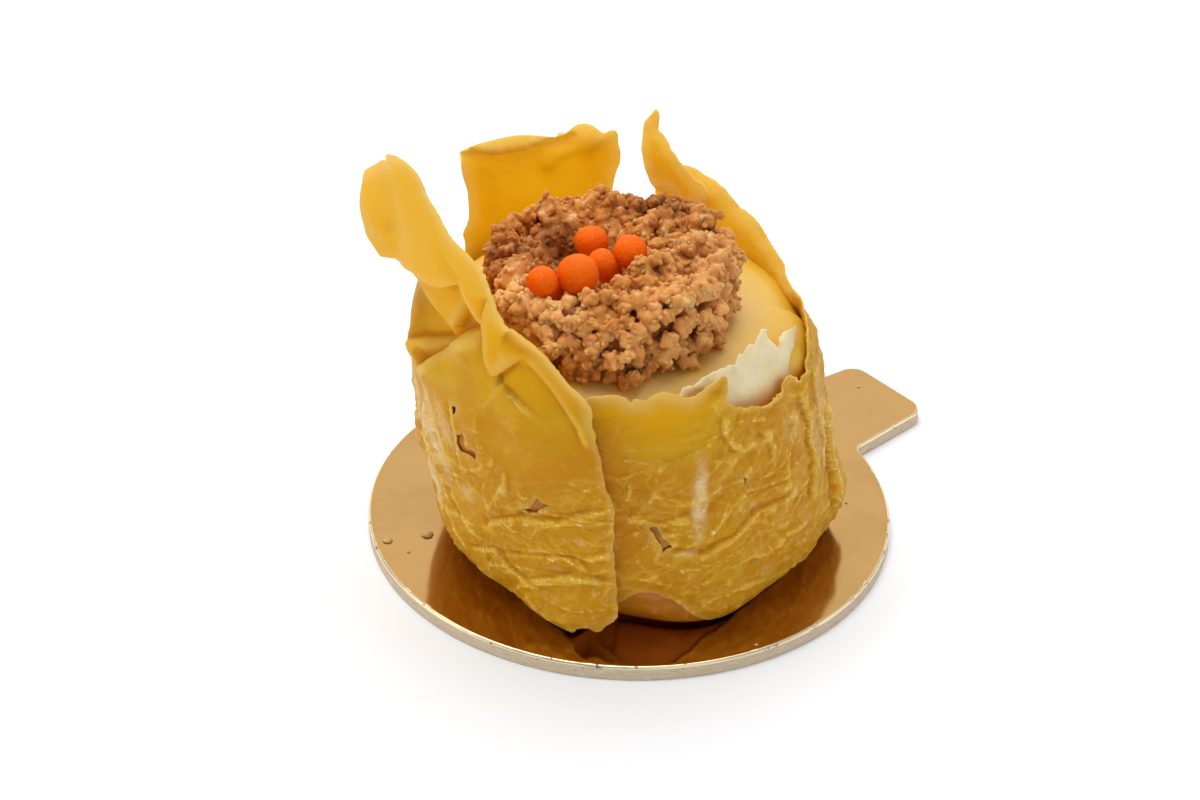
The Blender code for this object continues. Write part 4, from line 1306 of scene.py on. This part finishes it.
def mince_lumps(look):
    """Centres and radii of the lumps that merge into the heap: bulk, clumps and crumbs."""
    rng = np.random.default_rng(look.seed)
    common = look.lump / MM
    centres, radii = [], []

    def keep(x, y, z, radius):
        for centre, pearl in PEARLS:
            if math.dist((x, y, z), centre) < pearl + radius * 0.75:
                return
        centres.append((x, y, z))
        radii.append(radius)

    def clump(x, y, z, radius):
        """A lump with smaller crumbs stuck all over it."""
        keep(x, y, z, radius)
        for _ in range(int(5 + 5 * radius)):
            ray = rng.normal(size=3)
            ray /= np.linalg.norm(ray)
            small = common * rng.uniform(0.42, 0.8)
            reach = radius * rng.uniform(0.75, 1.08)
            keep(x + ray[0] * reach, y + ray[1] * reach, z + ray[2] * reach, small)

    reach = np.arange(-HEAP_RADIUS, HEAP_RADIUS + BULK_RADIUS, BULK_RADIUS)
    for dx in reach:
        for dy in reach:
            x, y = HEAP_X + dx, HEAP_Y + dy
            if math.hypot(dx, dy) > heap_edge(math.atan2(dy, dx)) - 4.6:
                continue
            roof = float(heap_height(x, y)) - BULK_COVER
            for z in np.arange(CORE_TOP + BULK_RADIUS, roof, BULK_RADIUS):
                keep(x, y, float(z), BULK_RADIUS)
            keep(x, y, max(CORE_TOP + 2.0, roof), BULK_RADIUS)
    spots = []
    for _ in range(TOP_TRIES):
        angle = rng.uniform(0.0, 2.0 * math.pi)
        far = math.sqrt(rng.uniform(0.0, 1.0)) * (heap_edge(angle) - 1.4)
        x, y = HEAP_X + far * math.cos(angle), HEAP_Y + far * math.sin(angle)
        if all(math.hypot(x - a, y - b) > TOP_GAP for a, b in spots):
            spots.append((x, y))
            radius = common * rng.uniform(0.7, 1.45)
            rough = clumped(x, y, 4.0)
            z = float(heap_height(x, y)) - radius * rng.uniform(0.85, 1.3) + rough - 0.3
            clump(x, y, z, radius)
    spots = []
    for _ in range(SIDE_TRIES):
        angle = rng.uniform(-math.pi, math.pi)
        rise = rng.uniform(0.0, 1.0)
        if all(math.hypot((angle - a) * 18.0, (rise - b) * 9.0) > SIDE_GAP for a, b in spots):
            spots.append((angle, rise))
            radius = common * rng.uniform(0.7, 1.4)
            rough = clumped(19.0 * math.cos(angle), 19.0 * math.sin(angle), 13.0 * rise)
            foot = 1.0 * (1.0 - rise) ** 3 * (1.0 + 0.8 * math.sin(angle))
            edge_far = heap_edge(angle) - radius * 0.95 - foot + rough - 0.4
            x, y = HEAP_X + edge_far * math.cos(angle), HEAP_Y + edge_far * math.sin(angle)
            roof = float(heap_height(x, y)) - radius
            z = CORE_TOP + radius * 0.8 + rise * max(0.0, roof - CORE_TOP - radius * 0.8)
            clump(x, y, z, radius)
    return np.array(centres), np.array(radii)


def shape_tree(name, numbers):
    """A geometry node tree with a mesh in, number inputs and a mesh out."""
    tree = bpy.data.node_groups.new(name, "GeometryNodeTree")
    sockets = tree.interface
    sockets.new_socket(name="Geometry", in_out="INPUT", socket_type="NodeSocketGeometry")
    for number in numbers:
        sockets.new_socket(name=number, in_out="INPUT", socket_type="NodeSocketFloat")
    sockets.new_socket(name="Seed", in_out="INPUT", socket_type="NodeSocketInt")
    sockets.new_socket(name="Geometry", in_out="OUTPUT", socket_type="NodeSocketGeometry")
    start = tree.nodes.new("NodeGroupInput")
    end = tree.nodes.new("NodeGroupOutput")
    return tree, tree.links.new, start, end


def merged_tree(finish):
    """Geometry nodes: spheres at points, merged in a volume, meshed and roughened."""
    numbers = ("Voxel Size", "Bump Size", "Bump Depth")
    tree, link, start, end = shape_tree("merged mince", numbers)
    radius = tree.nodes.new("GeometryNodeInputNamedAttribute")
    radius.data_type = "FLOAT"
    radius.inputs["Name"].default_value = "radius"
    dots = tree.nodes.new("GeometryNodeMeshToPoints")
    cloud = tree.nodes.new("GeometryNodePointsToVolume")
    cloud.resolution_mode = "VOXEL_SIZE"
    skin = tree.nodes.new("GeometryNodeVolumeToMesh")
    skin.resolution_mode = "GRID"
    skin.inputs["Threshold"].default_value = 0.1
    link(start.outputs["Geometry"], dots.inputs["Mesh"])
    link(radius.outputs["Attribute"], dots.inputs["Radius"])
    link(dots.outputs["Points"], cloud.inputs["Points"])
    link(start.outputs["Voxel Size"], cloud.inputs["Voxel Size"])
    link(radius.outputs["Attribute"], cloud.inputs["Radius"])
    link(cloud.outputs["Volume"], skin.inputs["Volume"])
    bumped = roughen(tree, link, start, skin.outputs["Mesh"])
    finish_tree(tree, link, bumped, finish, end)
    return tree


def roughen(tree, link, start, mesh):
    """Push a mesh in and out along its normals by noise of the group's bump size."""
    bumps = tree.nodes.new("ShaderNodeTexNoise")
    bumps.inputs["Detail"].default_value = 3.0
    bumps.inputs["Roughness"].default_value = 0.55
    link(calc(tree, "DIVIDE", 1.0, start.outputs["Bump Size"]), bumps.inputs["Scale"])
    centred = calc(tree, "SUBTRACT", bumps.outputs["Fac"], 0.5)
    deep = calc(tree, "MULTIPLY", centred, start.outputs["Bump Depth"])
    normal = tree.nodes.new("GeometryNodeInputNormal")
    push = tree.nodes.new("ShaderNodeVectorMath")
    push.operation = "SCALE"
    link(normal.outputs["Normal"], push.inputs["Vector"])
    link(deep, push.inputs["Scale"])
    moved = tree.nodes.new("GeometryNodeSetPosition")
    link(mesh, moved.inputs["Geometry"])
    link(push.outputs["Vector"], moved.inputs["Offset"])
    return moved.outputs["Geometry"]


def finish_tree(tree, link, mesh, finish, end):
    soft = tree.nodes.new("GeometryNodeSetShadeSmooth")
    real = tree.nodes.new("GeometryNodeRealizeInstances")
    paint = tree.nodes.new("GeometryNodeSetMaterial")
    paint.inputs["Material"].default_value = finish
    link(mesh, soft.inputs["Geometry"])
    link(soft.outputs["Geometry"], real.inputs["Geometry"])
    link(real.outputs["Geometry"], paint.inputs["Geometry"])
    link(paint.outputs["Geometry"], end.inputs["Geometry"])


def grain_tree(finish):
    """Geometry nodes: small uneven grains scattered over a surface."""
    numbers = ("Density", "Grain Radius", "Bump Size", "Bump Depth")
    tree, link, start, end = shape_tree("loose grains", numbers)
    spread = tree.nodes.new("GeometryNodeDistributePointsOnFaces")
    link(start.outputs["Geometry"], spread.inputs["Mesh"])
    link(start.outputs["Density"], spread.inputs["Density"])
    link(start.outputs["Seed"], spread.inputs["Seed"])
    ball = tree.nodes.new("GeometryNodeMeshUVSphere")
    ball.inputs["Segments"].default_value = 8
    ball.inputs["Rings"].default_value = 6
    link(start.outputs["Grain Radius"], ball.inputs["Radius"])
    sizes = tree.nodes.new("FunctionNodeRandomValue")
    sizes.data_type = "FLOAT_VECTOR"
    sizes.inputs["Min"].default_value = (0.55, 0.55, 0.45)
    sizes.inputs["Max"].default_value = (1.5, 1.2, 1.0)
    turns = tree.nodes.new("FunctionNodeRandomValue")
    turns.data_type = "FLOAT_VECTOR"
    turns.inputs["Max"].default_value = (6.283, 6.283, 6.283)
    link(start.outputs["Seed"], turns.inputs["Seed"])
    copies = tree.nodes.new("GeometryNodeInstanceOnPoints")
    link(spread.outputs["Points"], copies.inputs["Points"])
    link(ball.outputs["Mesh"], copies.inputs["Instance"])
    link(sizes.outputs["Value"], copies.inputs["Scale"])
    link(turns.outputs["Value"], copies.inputs["Rotation"])
    real = tree.nodes.new("GeometryNodeRealizeInstances")
    link(copies.outputs["Instances"], real.inputs["Geometry"])
    bumped = roughen(tree, link, start, real.outputs["Geometry"])
    finish_tree(tree, link, bumped, finish, end)
    return tree


def run_tree(name, source, tree, values):
    """Evaluate a node tree on a source mesh with the given inputs, as a plain mesh object."""
    holder = add_object(name, source)
    nodes = holder.modifiers.new("shape", "NODES")
    nodes.node_group = tree
    for item in tree.interface.items_tree:
        if item.item_type == "SOCKET" and item.in_out == "INPUT" and item.name in values:
            nodes[item.identifier] = values[item.name]
    holder.update_tag()
    graph = bpy.context.evaluated_depsgraph_get()
    made = bpy.data.meshes.new_from_object(holder.evaluated_get(graph), depsgraph=graph)
    bpy.data.objects.remove(holder)
    if len(made.polygons) == 0:
        raise RuntimeError(f"{name} came out empty")
    return add_object(name, made)


def mark_raised(mesh):
    """Store how far each point stands out of its surroundings, in millimetres, as a field.

    The grains take over the field of the heap below them.
    """
    points = np.empty(len(mesh.vertices) * 3)
    mesh.vertices.foreach_get("co", points)
    points = points.reshape(-1, 3) / MM
    ends = np.empty(len(mesh.edges) * 2, dtype=int)
    mesh.edges.foreach_get("vertices", ends)
    ends = ends.reshape(-1, 2)
    count = np.maximum(np.bincount(ends.ravel(), minlength=len(points)), 1)[:, None]
    normals = np.empty(len(mesh.vertices) * 3)
    mesh.vertices.foreach_get("normal", normals)
    even = points
    for _ in range(40):
        total = np.stack([np.bincount(ends[:, 0], even[ends[:, 1], k], len(points))
                          + np.bincount(ends[:, 1], even[ends[:, 0], k], len(points))
                          for k in range(3)], axis=1)
        even = 0.4 * even + 0.6 * total / count
    raised = ((points - even) * normals.reshape(-1, 3)).sum(axis=1)
    store_field(mesh, "raised", raised)


class MESH_OT_siu_mai_mince(bpy.types.Operator):
    """Make the heap of cooked mince and the loose grains on it"""

    bl_idname = "mesh.siu_mai_mince"
    bl_label = "Mince"

    def execute(self, context):
        look = context.scene.siu_mai_mince
        centres, radii = mince_lumps(look)
        dots = bpy.data.meshes.new("mince dots")
        dots.from_pydata((centres * MM).tolist(), [], [])
        store_field(dots, "radius", radii * MM)
        tree = merged_tree(mince_material(look, "cooked mince", 0.0))
        heap = run_tree("mince_heap", dots, tree, {"Voxel Size": look.voxel, **HEAP_BUMPS})
        mark_raised(heap.data)
        finish_piece(heap, ("filling",))
        tree = grain_tree(mince_material(look, "mince grains", 0.2))
        grains = run_tree("mince_grains", heap.data.copy(), tree, {**GRAINS, "Seed": look.seed})
        finish_piece(grains)
        return {"FINISHED"}


# ---------------------------------------------------------------- pearls
class MESH_OT_siu_mai_pearls(bpy.types.Operator):
    """Make the finely bumpy orange pearls"""

    bl_idname = "mesh.siu_mai_pearls"
    bl_label = "Pearls"

    def execute(self, context):
        look = context.scene.siu_mai_pearls
        work = bmesh.new()
        bump = look.bump / MM
        for number, (centre, radius) in enumerate(PEARLS):
            made = bmesh.ops.create_icosphere(work, subdivisions=5, radius=1.0)
            squash = Vector((1.0 + 0.03 * math.sin(number * 2.1), 1.0,
                             1.0 - 0.03 * math.cos(number * 1.7)))
            for vert in made["verts"]:
                ray = vert.co.normalized()
                at = ray * radius + Vector((number * 17.0, 0.0, 0.0))
                fine = noise.fractal(at * 2.6, 0.8, 2.0, 3)
                broad = noise.noise(at * 0.45)
                reach = radius - bump + bump * fine + 0.07 * broad
                flat = Vector((ray.x * squash.x, ray.y, ray.z * squash.z))
                vert.co = (Vector(centre) + flat * reach) * MM
        piece = add_work("orange_pearls", work, pearl_material(look))
        finish_piece(piece, PEARL_NODES)
        return {"FINISHED"}


# ---------------------------------------------------------------- card
def card_outline(inset, steps):
    """Round edge and tab, drawn inset from the true edge, as points about the card's centre."""
    radius = CARD_DISC - inset
    neck = TAB_NECK + inset
    neck_y = TAB_HALF_ROOT + TAB_NECK
    neck_x = math.sqrt((CARD_DISC + TAB_NECK) ** 2 - neck_y ** 2)
    meet = math.degrees(math.atan2(neck_y, neck_x))
    points = arc((0.0, 0.0), radius, meet, 360.0 - meet, steps)
    side = arc((neck_x, -neck_y), neck, 180.0 - meet, 90.0, steps // 40)
    corner = (TAB_END - TAB_CORNER, -(TAB_HALF_END - TAB_CORNER))
    side += arc(corner, TAB_CORNER - inset, -90.0, 0.0, steps // 30)
    points += side[1:]
    points += [point * (1.0, -1.0) for point in reversed(side)][:-1]
    turn = math.radians(TAB_ANGLE)
    rotate = np.array(((math.cos(turn), -math.sin(turn)), (math.sin(turn), math.cos(turn))))
    return np.array([rotate @ point for point in points])


def make_card(look):
    levels = [(LOW_ROUND, 0.0), (0.06, 0.06), (0.0, LOW_ROUND)]
    levels += [(0.0, rise) for rise in np.linspace(0.5, CARD_TOP - 0.6, 6)]
    levels += [(HIGH_ROUND * (1.0 - math.cos(a)), CARD_TOP - HIGH_ROUND * (1.0 - math.sin(a)))
               for a in np.radians(np.linspace(0.0, 90.0, 7))]
    levels += [(0.8, CARD_TOP), (1.3, CARD_TOP)]
    rings = []
    for inset, rise in levels:
        ring = card_outline(inset, CARD_STEPS)
        wear = noise_at(ring, 0.45, 101.0 + rise, 2)
        side = 0.0 < rise < CARD_TOP - 0.1
        dent = np.clip(wear, -0.6, 0.6) * (0.07 if side else 0.0)
        nick = np.clip(noise_at(ring, 0.8, 131.0) - 0.42, 0.0, 1.0) * 0.5
        near_top = rise > CARD_TOP - 0.4 and inset < 0.4
        middle = ring.mean(axis=0)
        away = ring - middle
        away /= np.hypot(*away.T)[:, None]
        ring = ring - away * (np.abs(dent) + (nick if near_top else 0.0))[:, None]
        level = rise - (nick * 0.5 if near_top else 0.0)
        rings.append(np.column_stack((ring, np.broadcast_to(level, len(ring)))))
    count = len(rings[0])
    points = np.concatenate(rings)
    polygons = ring_faces(len(rings), count)
    last = (len(rings) - 1) * count
    polygons.append(tuple(range(count))[::-1])
    polygons.append(tuple(range(last, last + count)))
    card = add_mesh("gold_card_fine", points, polygons, foil_material(look), sharp=30.0)
    card.data.materials.append(board_material(look))
    card.data.materials.append(highlit_worn_edge_material(look))
    for polygon in card.data.polygons:
        rise = polygon.center.z / MM
        if rise < CARD_TOP - 0.40:
            polygon.material_index = 1
        elif rise < CARD_TOP - 0.01:
            polygon.material_index = 2
    return card


def make_drops():
    work = bmesh.new()
    for number, (x, y, radius, rise) in enumerate(DROPS):
        made = bmesh.ops.create_uvsphere(work, u_segments=28, v_segments=16, radius=1.0)
        for vert in made["verts"]:
            flat = vert.co.copy()
            wander = 1.0 + 0.12 * noise.noise(flat * 1.3 + Vector((number * 5.0, 0, 0)))
            flat.x *= radius * wander
            flat.y *= radius * wander * 0.85
            flat.z = flat.z * rise if flat.z > 0.0 else flat.z * 0.04
            vert.co = (flat + Vector((x, y, CARD_TOP + 0.05))) * MM
    return add_work("oil_drops", work, oil_material())


class MESH_OT_siu_mai_card(bpy.types.Operator):
    """Make the gold card with its tab, board edge and drops of oil"""

    bl_idname = "mesh.siu_mai_card"
    bl_label = "Card"

    def execute(self, context):
        look = context.scene.siu_mai_card
        finish_piece(make_card(look), ("card",))
        finish_piece(make_drops())
        return {"FINISHED"}


# ---------------------------------------------------------------- stage
def aim(eye, target):
    return (Vector(target) - Vector(eye)).to_track_quat("-Z", "Y").to_matrix().to_4x4()


def soft_light(name, place_at, width, depth, strength):
    data = bpy.data.lights.new(name, "AREA")
    data.shape = "RECTANGLE"
    data.size, data.size_y = width, depth
    data.energy = strength
    lamp = add_object(name, data)
    lamp.matrix_world = Matrix.Translation(place_at) @ aim(place_at, LIGHT_AIM)


def add_camera():
    data = bpy.data.cameras.new("front camera")
    data.lens = CAMERA_LENS
    data.sensor_width = CAMERA_SENSOR
    data.clip_start, data.clip_end = 0.05, 20.0
    camera = add_object("front camera", data)
    tilt = math.radians(CAMERA_ELEVATION)
    back = Vector((0.0, -math.cos(tilt), math.sin(tilt)))
    eye = (Vector(CAMERA_AIM) + back * CAMERA_DISTANCE) * MM
    right = Vector((1.0, 0.0, 0.0))
    up = back.cross(right)
    level = Matrix((right, up, back)).transposed().to_4x4()
    roll = Matrix.Rotation(math.radians(CAMERA_ROLL), 4, "Z")
    camera.matrix_world = Matrix.Translation(eye) @ level @ roll
    bpy.context.scene.camera = camera


class SCENE_OT_siu_mai_stage(bpy.types.Operator):
    """Set up the pale floor, the soft lights and the camera"""

    bl_idname = "scene.siu_mai_stage"
    bl_label = "Stage"

    def execute(self, context):
        look = context.scene.siu_mai_stage
        made, tree, shader = new_material("pale floor")
        shader.inputs["Base Color"].default_value = (*look.floor, 1.0)
        shader.inputs["Roughness"].default_value = 0.9
        shader.inputs["Specular IOR Level"].default_value = 0.1
        reach = FLOOR_REACH
        corners = [(-reach, -reach, 0), (reach, -reach, 0), (reach, reach, 0), (-reach, reach, 0)]
        floor = add_mesh("floor", np.array(corners) - (0, 0, 0.02), [(0, 1, 2, 3)], made)
        world = bpy.data.worlds.new("white room")
        context.scene.world = world
        world.use_nodes = True
        sky = world.node_tree.nodes["Background"]
        sky.inputs["Color"].default_value = (1.0, 1.0, 1.0, 1.0)
        sky.inputs["Strength"].default_value = look.sky
        for name, setting, place_at, width, depth in LIGHTS:
            soft_light(name, place_at, width, depth, getattr(look, setting))
        context.scene.view_settings.view_transform = "Standard"
        context.scene.view_settings.look = "None"
        add_camera()
        return {"FINISHED"}


# ---------------------------------------------------------------- panel and run
class VIEW3D_PT_siu_mai(bpy.types.Panel):
    """Settings and makers of the open siu mai"""

    bl_label = "Open Siu Mai"
    bl_idname = "VIEW3D_PT_siu_mai"
    bl_space_type = "VIEW_3D"
    bl_region_type = "UI"
    bl_category = "Siu Mai"

    def draw(self, context):
        for name, _, maker in GROUPS:
            box = self.layout.box()
            group = getattr(context.scene, name)
            for key in group.__annotations__:
                box.prop(group, key)
            box.operator(maker)


GROUPS = (("siu_mai_card", SiuMaiCard, "mesh.siu_mai_card"),
          ("siu_mai_core", SiuMaiCore, "mesh.siu_mai_core"),
          ("siu_mai_wrapper", SiuMaiWrapper, "mesh.siu_mai_wrapper"),
          ("siu_mai_mince", SiuMaiMince, "mesh.siu_mai_mince"),
          ("siu_mai_pearls", SiuMaiPearls, "mesh.siu_mai_pearls"),
          ("siu_mai_stage", SiuMaiStage, "scene.siu_mai_stage"))
MAKERS = (MESH_OT_siu_mai_card, MESH_OT_siu_mai_core, MESH_OT_siu_mai_wrapper,
          MESH_OT_siu_mai_mince, MESH_OT_siu_mai_pearls, SCENE_OT_siu_mai_stage,
          VIEW3D_PT_siu_mai)


def register():
    for name, group, _ in GROUPS:
        bpy.utils.register_class(group)
        setattr(bpy.types.Scene, name, PointerProperty(type=group))
    for maker in MAKERS:
        bpy.utils.register_class(maker)


def unregister():
    for maker in reversed(MAKERS):
        bpy.utils.unregister_class(maker)
    for name, group, _ in reversed(GROUPS):
        delattr(bpy.types.Scene, name)
        bpy.utils.unregister_class(group)


def main():
    register()
    for _, _, maker in GROUPS:
        family, name = maker.split(".")
        getattr(getattr(bpy.ops, family), name)()


if __name__ == "__main__":
    main()
